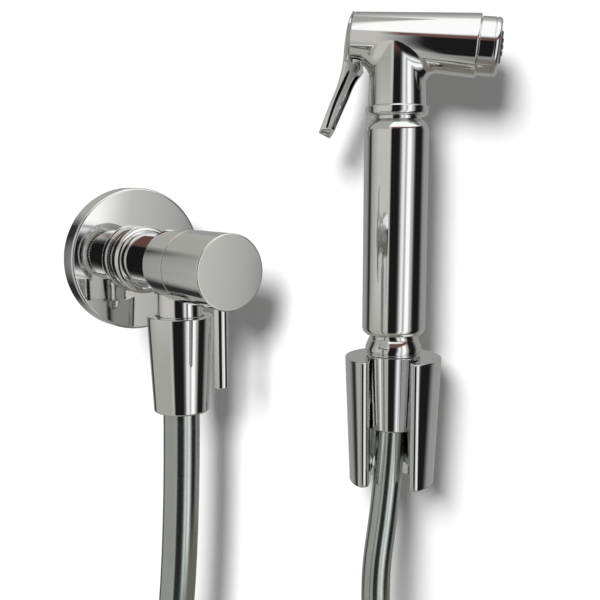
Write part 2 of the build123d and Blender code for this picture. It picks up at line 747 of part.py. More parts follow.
def gland_seal():
    """Packing ring round the stem."""
    low = -head_rear + gland_bore_depth - gland_seal_length
    outer_d, inner_d = gland_bore_d - 2 * still_gap, stem_d + 2 * shaft_gap
    return head_axis * tube(outer_d, inner_d, low, low + gland_seal_length)


def seat_insert():
    """Screwed brass seat with a raised lip for the rubber disc."""
    hole_r, lip_r = seat_hole_d / 2, seat_hole_d / 2 + seat_lip_width
    guide_r, outer_r = valve_chamber_d / 2 - still_gap, front_bore_d / 2 - still_gap
    flange = seat_flange_station + still_gap
    face = seat_station + seat_lip
    end = flange + seat_insert_length
    corners = [(hole_r, seat_station), (lip_r, seat_station), (lip_r + seat_lip, face), (guide_r, face),
               (guide_r, flange), (outer_r, flange), (outer_r, end), (hole_r + seat_wrench[0], end),
               (hole_r, end - seat_wrench[1])]
    return head_axis * lathe(corners)


def valve_stem():
    """Stem with a ball for the lever's yoke, a flange for the disc and a riveted button."""
    stem_r, ball_r, button_r = stem_d / 2, stem_ball_d / 2, stem_button_d / 2
    ball_joint = sqrt(ball_r ** 2 - stem_r ** 2) - stem_ball_station
    disc_back = seat_station - poppet_thickness
    flange_back = disc_back - stem_flange_thickness
    button_back = seat_station + still_gap
    ball_end = (0, -stem_ball_station - ball_r)
    ball = ThreePointArc(ball_end, (ball_r, -stem_ball_station), (stem_r, ball_joint))
    rest = Polyline((stem_r, ball_joint), (stem_r, flange_back), (stem_flange_d / 2, flange_back),
                    (stem_flange_d / 2, disc_back), (stem_r, disc_back), (stem_r, button_back),
                    (button_r, button_back), (button_r, button_back + stem_button_length),
                    (0, button_back + stem_button_length), ball_end)
    return head_axis * revolve(Plane.XZ * make_face([*ball.edges(), *rest.edges()]), Axis.Z)


def poppet_disc():
    """Rubber disc that closes on the seat's lip."""
    bore_d = stem_d + 2 * still_gap
    return head_axis * tube(poppet_d, bore_d, seat_station - poppet_thickness + still_gap,
                            seat_station - still_gap)


def stem_spring():
    """Round-wire spring that shuts the disc, on biarcs of a quarter turn."""
    low = -head_rear + gland_bore_depth + chamber_wall + spring_wire_d / 2 + still_gap
    high = seat_station - poppet_thickness - stem_flange_thickness - spring_wire_d / 2 - still_gap
    middle = head_origin + head_way * ((low + high) / 2)
    up = Vector(sin(radians(head_dip)), 0, cos(radians(head_dip)))
    path, places, ways = turns_path(middle, spring_mean_d / 2, (high - low) / spring_turns, spring_turns,
                                    up, head_way, spring_steps_per_turn)
    return swept_tube(path, places[0], ways[0], spring_wire_d)


def nozzle_ring():
    """Screwed nozzle cap with a turned line and a rounded rim."""
    low = head_front + still_gap
    high = head_front + nozzle_length
    outer_r = nozzle_d / 2
    bore_r = spigot_d / 2 + still_gap
    line = high - nozzle_line_back
    lip = high - nozzle_lip_thickness
    mouth_r = nozzle_mouth_d / 2
    corners = [(bore_r, low), (outer_r, low), (outer_r, line - nozzle_line_half),
               (outer_r - nozzle_line_depth, line), (outer_r, line + nozzle_line_half), (outer_r, high),
               (mouth_r, high), (mouth_r, lip), (bore_r, lip)]
    return head_axis * lathe(corners, [(5, nozzle_rim_round)])


def nozzle_o_ring():
    """Flat seal between the barrel's spigot and the spray plate."""
    low = head_front + spigot_length
    high = head_front + nozzle_length - nozzle_lip_thickness - spray_plate_thickness
    return head_axis * tube(spigot_d, front_bore_d + nozzle_seal_lap, low, high)


def spray_plate():
    """Domed spray plate with rings of small jets."""
    top = head_front + nozzle_length - nozzle_lip_thickness
    low = top - spray_plate_thickness
    face = top + nozzle_lip_thickness - spray_face_back
    peak = face + spray_dome_rise
    face_r = nozzle_mouth_d / 2 - still_gap
    rise = Line((face_r, top), (face_r, face))
    shoulder = (face_r / 2, face + spray_dome_rise * spray_dome_share)
    dome = ThreePointArc((face_r, face), shoulder, (0, peak))
    inner_r = face_r - spray_step
    rest = Polyline((0, peak), (0, top), (inner_r, low), (spigot_d / 2, low),
                    (spigot_d / 2, top), (face_r, top))
    plate = revolve(Plane.XZ * make_face([*rise.edges(), *dome.edges(), *rest.edges()]), Axis.Z)
    return head_axis * drilled(plate, spray_ring_radii, spray_hole_counts, spray_hole_d, low - 1,
                               peak + 1)


def trigger_pin():
    """Riveted pin through the lever's ears and the head's lug."""
    half = lever_pivot_width / 2 + running_gap
    head_high = half + pin_head_thickness
    pin = rod(trigger_pin_d, -head_high, head_high)
    dimple_r, dimple_depth = pin_dimple
    rivet_r = pin_head_d / 2
    rivet = lathe([(0, half), (rivet_r, half), (rivet_r - pin_head_chamfer, head_high), (0, head_high)])
    dimple = Pos(0, 0, head_high) * Cylinder(dimple_r, 2 * dimple_depth)
    for side in (0, 180):
        pin += Rot(side, 0, 0) * rivet
        pin -= Rot(side, 0, 0) * dimple
    return spray_frame * Pos(-pivot_back, 0, pivot_height) * Rot(90, 0, 0) * pin


def from_pivot(point):
    """A point given from the pivot, as (forward of the neck's axis, above the hose nut)."""
    return (point[0] - pivot_back, point[1] + pivot_height)


def from_head(point):
    """A point given from the head's axis, as (forward of the neck's axis, above the hose nut)."""
    return (point[0], point[1] + head_axis_height)


lever_face_low_z = head_axis_height + lever_face_foot
lever_top = from_head(lever_top_point)
lever_tip_outer, lever_tip_inner = [from_pivot(point) for point in lever_tip_edge]


def lever_outline():
    """Side outline of the trigger: curved back, tip, hollow front, heel and the face behind the head."""
    lean = tan(radians(head_dip))
    face_x = head_forward - head_rear - lever_back_gap - head_axis_height * lean
    face_low = (face_x + lever_face_low_z * lean, lever_face_low_z)
    face_high_z = head_axis_height + lever_face_top
    face_high = (face_x + face_high_z * lean, face_high_z)
    plate = [from_head(point) for point in lever_plate_back]
    blade = [from_pivot(point) for point in lever_blade_back]
    back = Spline(lever_top, *plate, *blade, lever_tip_outer)
    tip = Polyline(lever_tip_outer, lever_tip_inner)
    heel, shoulder = from_pivot(lever_heel), from_pivot(lever_shoulder)
    front = Spline(lever_tip_inner, *[from_pivot(point) for point in lever_blade_front], heel)
    rest = Polyline(heel, shoulder, face_low, face_high, lever_top)
    return make_face([*back.edges(), *tip.edges(), *front.edges(), *rest.edges()])


def lever_width():
    """Front outline of the trigger: a round thumb plate that narrows to a rounded tip."""
    top_r, middle_r, tip_r = lever_top_width / 2, lever_pivot_width / 2, lever_tip_width / 2
    top_z, tip_z = lever_top[1], lever_tip_inner[1] - lever_tip_over
    arch = ThreePointArc((-top_r, top_z - top_r), (0, top_z), (top_r, top_z - top_r))
    right = Spline((top_r, top_z - top_r), (middle_r, pivot_height), (tip_r, tip_z + tip_r / 2))
    foot = ThreePointArc((tip_r, tip_z + tip_r / 2), (0, tip_z), (-tip_r, tip_z + tip_r / 2))
    left = mirror(right, Plane.YZ)
    return make_face([*arch.edges(), *right.edges(), *foot.edges(), *left.edges()])


def trigger_lever():
    """Cast trigger: a thumb plate over a channel, with ears on the pin and a yoke round the stem's ball."""
    profile = Plane.XZ * lever_outline()
    ear_room = lug_width / 2 + running_gap
    side_view = extrude(profile, lever_top_width, both=True)
    seen_from_front = Plane(origin=(-pivot_back, 0, 0), x_dir=(0, 1, 0), z_dir=(1, 0, 0))
    front_view = extrude(seen_from_front * lever_width(), 2 * lever_top_width, both=True)
    lever = side_view & front_view
    channel = Pos(lever_web, 0, 0) * extrude(profile, ear_room, both=True)
    tip_solid_z = pivot_height + lever_tip_solid
    channel_height = lever_face_low_z + lever_channel_over - tip_solid_z
    channel_place = Pos(-pivot_back, 0, tip_solid_z + channel_height / 2)
    channel &= channel_place * Box(4 * lever_top_width, 2 * lever_top_width, channel_height)
    pivot = Pos(-pivot_back, 0, pivot_height) * Rot(90, 0, 0)
    lever -= channel
    lever -= pivot * rod(lug_round_d + 4 * running_gap, -ear_room, ear_room)
    lever -= pivot * rod(trigger_pin_d + 2 * shaft_gap, -lever_top_width, lever_top_width)
    groove_points = [from_pivot(point) for point in lever_groove]
    groove = Plane.XZ * make_face(Spline(*groove_points, groove_points[0], periodic=False))
    groove_cut = extrude(groove, lever_top_width, both=True)
    for side in (-1, 1):
        lever -= Pos(0, side * (lever_groove_floor + lever_top_width), 0) * groove_cut
    lever = spray_frame * lever
    arm_low = -head_rear - lever_back_gap - yoke_overlap
    arm_length = -yoke_front_station - arm_low
    lever += head_axis * Pos(0, 0, arm_low + arm_length / 2) * Box(yoke_width, yoke_height, arm_length)
    ball_length = head_rear + lever_back_gap + yoke_slot_over - yoke_wall_station
    slot_height = yoke_height + 1
    ball_place = Pos(0, 0, -yoke_wall_station - ball_length / 2)
    ball_room = ball_place * Box(yoke_ball_slot, slot_height, ball_length)
    neck_room = Pos(0, 0, -yoke_wall_station) * Box(yoke_neck_slot, slot_height, 2 * ball_length)
    neck_depth = 2 * (yoke_wall_station - yoke_front_station)
    neck_room &= Pos(0, 0, -yoke_front_station - 0.5) * Box(2 * yoke_width, 2 * yoke_width, neck_depth)
    return lever - head_axis * (ball_room + neck_room)


def hose_start(drop):
    """Height of a hose's end below its nut's top."""
    return drop - nut_shoulder


across = (spray_axis - Vector(outlet_x, outlet_y, 0)).normalized()
towards = Vector(across.Y, -across.X, 0)
down_way = Vector(0, 0, -1)
coil_centre = Vector(outlet_x, outlet_y, coil_centre_z) + across * coil_from_outlet
coil_in = coil_centre - across * coil_radius - towards * (coil_turns * coil_pitch / 2)
coil_out = coil_centre + across * coil_radius + towards * (coil_turns * coil_pitch / 2)
valve_leg_points = [
    (outlet_x, outlet_y, hose_start(valve_nut_z)),
    (outlet_x, outlet_y, valve_leg_bend_z[0]),
    (coil_in.X, coil_in.Y, valve_leg_bend_z[1]),
    (coil_in.X, coil_in.Y, coil_centre_z),
]
spray_leg_points = [
    (0, -holder_standoff, hose_start(spray_nut_z)),
    (0, -holder_standoff, spray_leg_bend_z[0]),
    (*spray_leg_drift, spray_leg_bend_z[1]),
    (coil_out.X, coil_out.Y, spray_leg_bend_z[2]),
    (coil_out.X, coil_out.Y, coil_centre_z),
]


def tube_ratio(solid, length):
    """Volume of a swept hose over the volume of its straight length."""
    return solid.volume / (pi * hose_d ** 2 / 4 * length)


def hose_leg(name, points):
    """One free leg of the hose with the socket that its barb fills."""
    path = cord_path(name, points)
    leg = swept_tube(path, points[0], down_way, hose_d)
    length = path.length
    print(name, "length", round(length, 1), "volume ratio", round(tube_ratio(leg, length), 5))
    head_place = Vector(*points[0]) + Vector(0, 0, nut_shoulder)
    return leg - Pos(*head_place) * barb_socket(), length


def hose_coil():
    """The put-away turns of the hose as one unbroken tube, and their middle line."""
    path, places, ways = turns_path(coil_centre, coil_radius, coil_pitch, coil_turns, across, towards, 4,
                                    (down_way, -down_way))
    coil = swept_tube(path, places[0], down_way, hose_d)
    print("coil length", round(path.length, 1), "volume ratio", round(tube_ratio(coil, path.length), 5),
          "self gap", round(coil_gap(path), 2))
    return coil, path


def coil_gap(path):
    """Least gap between turns, on points along the middle line."""
    count = 240
    spots = [path @ (index / count) for index in range(count + 1)]
    step = path.length / count
    apart = round(3 * hose_d / step)
    least = min((spots[i] - spots[j]).length for i in range(count + 1) for j in range(i + apart, count + 1))
    return least - hose_d


def hose_ties(path):
    """Two rubber straps, each round both turns of the coil."""
    straps = Part()
    inner_d = hose_d + 2 * tie_gap
    for angle in tie_angles:
        first, second = angle / 360 / coil_turns, (angle / 360 + 1) / coil_turns
        spacing = (path @ second) - (path @ first)
        section = Plane(origin=((path @ first) + (path @ second)) / 2, x_dir=spacing, z_dir=path % first)
        outer = SlotCenterToCenter(spacing.length, inner_d + 2 * tie_thickness)
        band = outer - SlotCenterToCenter(spacing.length, inner_d)
        straps += extrude(section * band, tie_width / 2, both=True)
    return straps


valve_leg, valve_leg_length = hose_leg("valve leg", valve_leg_points)
spray_leg, spray_leg_length = hose_leg("spray leg", spray_leg_points)
coil, coil_path = hose_coil()
print("hose length", round(valve_leg_length + spray_leg_length + coil_path.length, 1))

below_outlet = Pos(outlet_x, outlet_y, valve_nut_z)
nodes = {
    "rosette": rosette(),
    "valve_body": valve_body(),
    "seat_gasket": seat_gasket(),
    "fixed_ceramic_disc": ceramic_disc(gasket_top, 0),
    "rotary_ceramic_disc": ceramic_disc(fixed_disc_top, 90),
    "cartridge_housing": cartridge_housing(),
    "cartridge_o_ring": cartridge_o_ring(),
    "spindle": spindle(),
    "spindle_o_ring": spindle_o_ring(),
    "retaining_ring": retaining_ring(),
    "valve_handle": valve_handle(),
    "handle_pin": handle_pin(),
    "hose_nut_valve": below_outlet * hose_nut(),
    "hose_washer_valve": below_outlet * hose_washer(),
    "hose_tail_valve": below_outlet * hose_tail(),
    "crimp_sleeve_valve": below_outlet * crimp_sleeve(),
    "hose_valve_leg": valve_leg,
    "hose_coil": coil,
    "hose_ties": hose_ties(coil_path),
    "hose_spray_leg": spray_leg,
    "crimp_sleeve_spray": spray_frame * crimp_sleeve(),
    "hose_tail_spray": spray_frame * hose_tail(),
    "hose_washer_spray": spray_frame * hose_washer(),
    "hose_nut_spray": spray_frame * hose_nut(),
    "inlet_filter": inlet_filter(),
    "end_fitting": end_fitting(),
    "grip": grip(),
    "grip_o_ring": grip_o_ring(),
    "spray_head": head(),
    "gland_nut": gland_nut(),
    "gland_seal": gland_seal(),
    "seat_insert": seat_insert(),
    "nozzle_ring": nozzle_ring(),
    "nozzle_o_ring": nozzle_o_ring(),
    "spray_plate": spray_plate(),
    "trigger_pin": trigger_pin(),
    "trigger_lever": trigger_lever(),
    "valve_stem": valve_stem(),
    "poppet_disc": poppet_disc(),
    "stem_spring": stem_spring(),
    "holder_cup": holder(),
    "holder_screws": holder_screw_pair(),
}

for name, solid in nodes.items():
    export_step(solid, f"parts/{name}.step")
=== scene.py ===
"""Looks for the hand shower set: wall valve, hand spray with its lever, cup holder and hose.

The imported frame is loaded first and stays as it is.  The chrome pieces are modelled again here as
fine meshes in millimetres, in the frame's own axes, and each one rides the body of the piece that
it stands for.
"""
import json
import logging
import math
from dataclasses import dataclass
from enum import Enum
from typing import Callable, Iterable, Sequence

import bmesh
import bpy
import numpy as np
from mathutils import Matrix, Vector

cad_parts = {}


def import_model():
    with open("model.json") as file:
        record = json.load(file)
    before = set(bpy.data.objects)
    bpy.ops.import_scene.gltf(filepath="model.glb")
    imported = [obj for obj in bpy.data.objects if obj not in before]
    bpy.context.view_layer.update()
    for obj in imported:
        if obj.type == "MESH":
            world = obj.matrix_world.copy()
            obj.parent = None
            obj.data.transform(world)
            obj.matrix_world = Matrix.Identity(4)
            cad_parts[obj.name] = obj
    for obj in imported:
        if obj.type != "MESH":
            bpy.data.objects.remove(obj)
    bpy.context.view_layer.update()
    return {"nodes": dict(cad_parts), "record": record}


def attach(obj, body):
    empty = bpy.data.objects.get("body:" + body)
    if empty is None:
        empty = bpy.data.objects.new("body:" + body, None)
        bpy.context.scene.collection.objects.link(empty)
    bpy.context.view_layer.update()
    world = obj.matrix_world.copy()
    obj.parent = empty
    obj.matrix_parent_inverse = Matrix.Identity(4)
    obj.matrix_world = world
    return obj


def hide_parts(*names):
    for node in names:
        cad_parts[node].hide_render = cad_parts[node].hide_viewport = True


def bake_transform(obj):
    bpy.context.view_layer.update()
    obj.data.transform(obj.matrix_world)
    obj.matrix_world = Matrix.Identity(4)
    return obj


LOG = logging.getLogger("hand_shower")

MM = 0.001
TURN = 2.0 * math.pi
LATHE_STEPS = 160
FINE_LATHE_STEPS = 192
SMALL_EDGE = 0.3
ARC_STEPS = 7
CREASE_ANGLE = math.radians(32.0)

Material = bpy.types.Material
Piece = bpy.types.Object
Socket = bpy.types.NodeSocket
Outline = Sequence[tuple[float, float]]


class Slot(Enum):
    """Material slots of the record."""

    CHROME = "chrome"
    HOSE = "hose"
    NOZZLE = "nozzle_plastic"
    RUBBER = "rubber"
    CERAMIC = "ceramic"
    BRASS = "brass"
    STEEL = "steel"


class Body(Enum):
    """Bodies of the frame."""

    WALL = "wall_parts"
    TAP = "tap_handle"
    HOSE_END = "hose_end"
    SPRAY = "hand_spray"
    TRIGGER = "trigger"


def axes_matrix(x: Vector, y: Vector, z: Vector, origin: Vector) -> Matrix:
    """Builds a placement from three axes and an origin."""
    turn = Matrix((x, y, z)).transposed().to_4x4()
    return Matrix.Translation(origin) @ turn


def level_axes(turn_deg: float) -> tuple[Vector, Vector]:
    """Level directions to the side and to the front, turned about Z."""
    turn = math.radians(turn_deg)
    across, along = math.cos(turn), math.sin(turn)
    return Vector((across, along, 0.0)), Vector((along, -across, 0.0))


@dataclass(frozen=True)
class View:
    """The camera that took the picture, in millimetres and degrees."""

    place: tuple[float, float, float] = (42.14, -431.2, 114.35)
    turn_deg: float = 12.3
    pitch_deg: float = 7.85
    lens: float = 51.0
    sensor: float = 36.0

    @property
    def right(self) -> Vector:
        """Level direction to the picture's right."""
        return level_axes(self.turn_deg)[0]

    @property
    def back(self) -> Vector:
        """Level direction from the object towards the camera."""
        return level_axes(self.turn_deg)[1]


@dataclass(frozen=True)
class NutShape:
    """Conical hose nut, measured down from its top."""

    length: float = 36.8
    top_d: float = 25.0
    bottom_d: float = 21.0
    edge: float = 0.9
    mouth_d: float = 15.8
    mouth_depth: float = 9.0
    socket_d: float = 18.2


@dataclass(frozen=True)
class ValveShape:
    """Wall valve, measured outwards from the rosette's front face."""

    turn_deg: float = 50.0
    outlet: tuple[float, float, float] = (-70.0, -130.0, 83.75)
    outlet_station: float = 32.6
    outlet_drop: float = 19.1
    outlet_d: float = 17.2
    rosette_d: float = 57.2
    rosette_depth: float = 8.0
    rosette_wall: float = 1.4
    rosette_edge: float = 1.0
    shank_d: float = 22.0
    step_d: float = 24.0
    step_start: float = 0.05
    collar_d: float = 27.0
    collar_start: float = 2.0
    collar_end: float = 7.4
    barrel_d: float = 27.2
    barrel_start: float = 29.0
    seam: float = 43.0
    seam_gap: float = 0.3
    handle_end: float = 68.0
    handle_edge: float = 0.55
    thread_d: float = 20.9
    thread_root_d: float = 18.7
    thread_pitch: float = 1.81
    thread_start: float = -8.6
    thread_end: float = -20.6
    bore_d: float = 11.0
    pin_station: float = 61.0
    pin_d: float = 5.2
    pin_drop: float = 42.0
    pin_round: float = 0.9
    shank_gap: float = 0.3
    seam_lip: float = 2.4
    seam_depth: float = 2.0
    outlet_root: float = 4.0
    pin_root: float = 3.0

    @property
    def place(self) -> Matrix:
        """Valve axes in the row frame: X to the side, Y up, Z outwards."""
        side, out = level_axes(self.turn_deg)
        origin = Vector(self.outlet) - out * self.outlet_station
        return axes_matrix(side, Vector((0.0, 0.0, 1.0)), out, origin)


@dataclass(frozen=True)
class SprayShape:
    """Hand spray: heights above its hose nut, stations along the head's axis from the neck."""

    axis: tuple[float, float] = (0.0, -26.0)
    nut_top: float = 32.25
    bulb_d: float = 26.9
    waist_d: float = 22.9
    waist: float = 9.4
    seat_d: float = 17.2
    seat_drop: float = 0.5
    seat: float = 0.3
    line_heights: tuple[float, float, float] = (1.2, 1.35, 1.6)
    bulb_curve: Outline = ((-0.05, 1.8), (0.02, 3.0), (-0.25, 4.4), (-0.75, 5.8), (-1.35, 7.2))
    waist_curve: Outline = ((0.15, 8.2), (0.0, 8.8))
    hidden_lip: float = 1.4
    line_depth: float = 0.35
    grip_d: float = 30.2
    grip_foot: float = 10.2
    grip_foot_round: float = 4.1
    grip_head: float = 109.7
    grip_head_round: float = 6.0
    grip_top: float = 111.3
    groove_d: float = 22.4
    bead_bottom: float = 112.8
    bead_top: float = 117.6
    bead_d: float = 29.2
    bead_foot_round: float = 1.8
    bead_round: float = 0.9
    neck_d: float = 27.0
    neck_top_d: float = 24.2
    head_height: float = 147.3
    head_dip_deg: float = 5.8
    head_forward: float = 2.7
    rear: float = 23.5
    front: float = 34.2
    rear_d: float = 22.7
    front_d: float = 28.5
    edge: float = 0.6
    rear_blend: float = 8.0
    front_blend: float = 5.6
    pocket_d: float = 12.0
    pocket_depth: float = 6.3
    cap_d: float = 26.1
    cap_length: float = 9.4
    cap_round: float = 1.9
    cap_line_back: float = 2.6
    cap_line_depth: float = 0.4
    cap_mouth_d: float = 18.6
    cap_gap: float = 0.35
    cap_root: float = 1.6
    cap_line_half: float = 0.35
    cap_lip: float = 1.9
    plate_recess: float = 0.3
    pocket_hole: float = 2.2
    dome_rise: float = 1.3
    pivot: tuple[float, float] = (-19.4, 134.8)

    @property
    def place(self) -> Matrix:
        """Spray axes in the row frame, with the origin at the nut's top."""
        return Matrix.Translation((*self.axis, self.nut_top))

    @property
    def head_place(self) -> Matrix:
        """Head axes in the row frame: X sideways, Y up, Z towards the nozzle."""
        dip = math.radians(self.head_dip_deg)
        out = Vector((math.cos(dip), 0.0, -math.sin(dip)))
        up = Vector((math.sin(dip), 0.0, math.cos(dip)))
        origin = Vector((*self.axis, self.nut_top + self.head_height)) + out * self.head_forward
        return axes_matrix(Vector((0.0, 1.0, 0.0)), up, out, origin)


@dataclass(frozen=True)
class CupShape:
    """Holder cup, centred on the spray's axis."""

    height: float = 62.5
    top_d: float = 46.5
    bottom_d: float = 41.0
    rim: float = 0.8
    slot: float = 19.2
    lip: float = 2.8
    throat_d: float = 21.6
    mouth_d: float = 25.5
    nut_foot: float = -4.55
    pad_width: float = 22.0
    pad_height: float = 46.0
    pad_depth: float = 12.0
    pad_corner: float = 3.0


@dataclass(frozen=True)
class HoseShape:
    """Hose: its own size, the put-away turns and the route of both legs, in metres."""

    diameter: float = 0.014
    coil_radius: float = 0.074
    coil_pitch: float = 0.0154
    coil_turns: float = 1.5
    points_per_turn: int = 16
    centre: tuple[float, float, float] = (-0.036497, -0.080225, -0.213)
    across: tuple[float, float, float] = (0.558379, 0.829591, 0.0)
    towards: tuple[float, float, float] = (0.829591, -0.558379, 0.0)
    valve_leg: tuple[tuple[float, float, float], ...] = (
        (-0.070, -0.130, 0.0505),
        (-0.070, -0.130, -0.045),
        (-0.0874, -0.1352, -0.141),
    )
    spray_leg: tuple[tuple[float, float, float], ...] = (
        (0.0, -0.026, 0.0181),
        (0.0, -0.026, -0.022),
        (-0.0084, -0.046, -0.098),
        (0.0144, -0.0253, -0.165),
        (0.0144, -0.0253, -0.213),
    )
    valve_leg_length: float = 0.2648
    spray_leg_length: float = 0.2374
    coil_length: float = 0.6978
    tie_angles_deg: tuple[float, float] = (50.0, 130.0)
    tie_width: float = 0.006
    tie_thickness: float = 0.0009
    tie_gap: float = 0.0003


VIEW = View()
NUT = NutShape()
VALVE = ValveShape()
SPRAY = SprayShape()
CUP = CupShape()
HOSE = HoseShape()


# Outlines


def rounded(corners: Outline, radii: dict[int, float], steps: int = ARC_STEPS) -> Outline:
    """Rounds chosen corners of an open outline.

    Args:
        corners: Points of the outline in order.
        radii: Radius for each corner number that is rounded.
        steps: Straight pieces in each arc.

    Returns:
        The outline with arcs in place of those corners.
    """
    line = []
    for index, corner in enumerate(corners):
        radius = radii.get(index, 0.0)
        if radius <= 0.0:
            line.append(corner)
            continue
        here = Vector(corner)
        back = (Vector(corners[index - 1]) - here).normalized()
        ahead = (Vector(corners[index + 1]) - here).normalized()
        half = back.angle(ahead) / 2.0
        centre = here + (back + ahead).normalized() * (radius / math.sin(half))
        start = here + back * (radius / math.tan(half)) - centre
        end = here + ahead * (radius / math.tan(half)) - centre
        sweep = start.angle_signed(end)
        for step in range(steps + 1):
            spoke = start.copy()
            spoke.rotate(Matrix.Rotation(-sweep * step / steps, 2))
            point = centre + spoke
            line.append((point.x, point.y))
    return line


def smooth_curve(points: Outline, heights: Sequence[float]) -> list[float]:
    """Values of a smooth line through (value, height) points, at the given heights.

    Args:
        points: Points in rising height.
        heights: Heights at which the line is read.

    Returns:
        One value for each height, on a monotone cubic through the points.
    """
    value, height = np.array(points, dtype=float).T
    step = np.diff(height)
    slope = np.diff(value) / step
    tangent = np.empty(len(value))
    tangent[0], tangent[-1] = slope[0], slope[-1]
    tangent[1:-1] = (slope[:-1] * step[1:] + slope[1:] * step[:-1]) / (step[1:] + step[:-1])
    out = []
    for z in heights:
        index = int(np.clip(np.searchsorted(height, z) - 1, 0, len(step) - 1))
        t = (z - height[index]) / step[index]
        t = min(max(t, 0.0), 1.0)
        blend = t * t * (3.0 - 2.0 * t)
        rise = t * (1.0 - t) ** 2 * tangent[index] - t * t * (1.0 - t) * tangent[index + 1]
        out.append(float(value[index] * (1.0 - blend) + value[index + 1] * blend + rise * step[index]))
    return out


# Meshes


def lathe(outline: Iterable[tuple[float, float]], steps: int = LATHE_STEPS) -> bmesh.types.BMesh:
    """Turns an outline of (radius, height) points about Z."""
    bm = bmesh.new()
    verts = [bm.verts.new((radius, 0.0, height)) for radius, height in outline]
    edges = [bm.edges.new(pair) for pair in zip(verts, verts[1:])]
    bmesh.ops.spin(bm, geom=[*verts, *edges], cent=(0, 0, 0), axis=(0, 0, 1), angle=TURN, steps=steps,
                   use_merge=True)
    bmesh.ops.remove_doubles(bm, verts=bm.verts, dist=1e-5)
    return bm


def bridge(bm: bmesh.types.BMesh, rings: Sequence[Sequence[Vector]]) -> list[list[bmesh.types.BMVert]]:
    """Joins closed rings of equal count with faces and returns their corners."""
    grid = [[bm.verts.new(point) for point in ring] for ring in rings]
    for low, high in zip(grid, grid[1:]):
        for index in range(len(low)):
            after = (index + 1) % len(low)
            bm.faces.new((low[index], low[after], high[after], high[index]))
    return grid


def skin(rings: Sequence[Sequence[Vector]], caps: bool = True) -> bmesh.types.BMesh:
    """Joins closed rings of equal count into a skin; caps fill its first and its last ring."""
    bm = bmesh.new()
    grid = bridge(bm, rings)
    if caps:
        bm.faces.new(grid[0])
        bm.faces.new(grid[-1])
    bmesh.ops.remove_doubles(bm, verts=bm.verts, dist=1e-6)
    bmesh.ops.dissolve_degenerate(bm, edges=bm.edges, dist=1e-6)
    return bm


def join_into(target: bmesh.types.BMesh, extra: bmesh.types.BMesh) -> None:
    """Adds a second bmesh to the first and frees it."""
    holder = bpy.data.meshes.new("joining")
    extra.to_mesh(holder)
    extra.free()
    target.from_mesh(holder)
    bpy.data.meshes.remove(holder)


def add_object(name: str, data: bpy.types.ID) -> Piece:
    """Adds an object with this data to the scene."""
    obj = bpy.data.objects.new(name, data)
    bpy.context.scene.collection.objects.link(obj)
    return obj


def make_object(name: str, bm: bmesh.types.BMesh, place: Matrix,
                normals: np.ndarray | None = None) -> Piece:
    """Turns a bmesh in millimetres into a finished object in metres.

    Args:
        name: Name of the object.
        bm: Mesh in the piece's own axes; it is freed.
        place: The piece's axes in the row frame, in millimetres.
        normals: Exact normals for each vertex in the row frame, or None.

    Returns:
        The object, with smooth shading and creases kept.
    """
    bmesh.ops.transform(bm, matrix=Matrix.Scale(MM, 4) @ place, verts=bm.verts)
    if normals is None:
        bmesh.ops.recalc_face_normals(bm, faces=bm.faces)
    mesh = bpy.data.meshes.new(name)
    bm.to_mesh(mesh)
    bm.free()
    mesh.shade_smooth()
    obj = add_object(name, mesh)
    if normals is not None:
        mesh.normals_split_custom_set_from_vertices(normals)
        return obj
    mesh.set_sharp_from_angle(angle=CREASE_ANGLE)
    weighting = obj.modifiers.new("even flats", "WEIGHTED_NORMAL")
    weighting.keep_sharp = True
    return obj


def dress(obj: Piece, body: Body, slot: Slot, finish: Material, *nodes: str) -> None:
    """Gives a piece its material, its body and the frame nodes that it stands for."""
    obj.data.materials.clear()
    obj.data.materials.append(finish)
    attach(obj, body.value)
    if nodes:
        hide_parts(*nodes)


def turned(name: str, outline: Outline, place: Matrix, body: Body, finish: Material, *nodes: str,
           steps: int = LATHE_STEPS, slot: Slot = Slot.CHROME) -> None:
    """Turns an outline of (radius, height) points into a finished piece."""
    dress(make_object(name, lathe(outline, steps), place), body, slot, finish, *nodes)


def rounded_box(name: str, size: Sequence[float], place: Matrix, radius: float, steps: int,
                along: int | None = None) -> Piece:
    """A box with rounded edges, all of them or only those along one axis."""
    box = bmesh.new()
    bmesh.ops.create_cube(box, size=1.0)
    bmesh.ops.transform(box, matrix=Matrix.Diagonal((*size, 1.0)), verts=box.verts)
    edges = box.edges[:]
    if along is not None:
        edges = [edge for edge in edges
                 if abs(edge.verts[0].co[along] - edge.verts[1].co[along]) > size[along] / 2]
    bmesh.ops.bevel(box, geom=edges, offset=radius, segments=steps, profile=0.5, affect="EDGES")
    return make_object(name, box, place)


# Materials


def srgb(code: str) -> tuple[float, float, float, float]:
    """Linear colour of a hex code."""
    levels = [int(code[index:index + 2], 16) / 255.0 for index in (1, 3, 5)]
    linear = [level / 12.92 if level <= 0.04045 else ((level + 0.055) / 1.055) ** 2.4 for level in levels]
    return (*linear, 1.0)


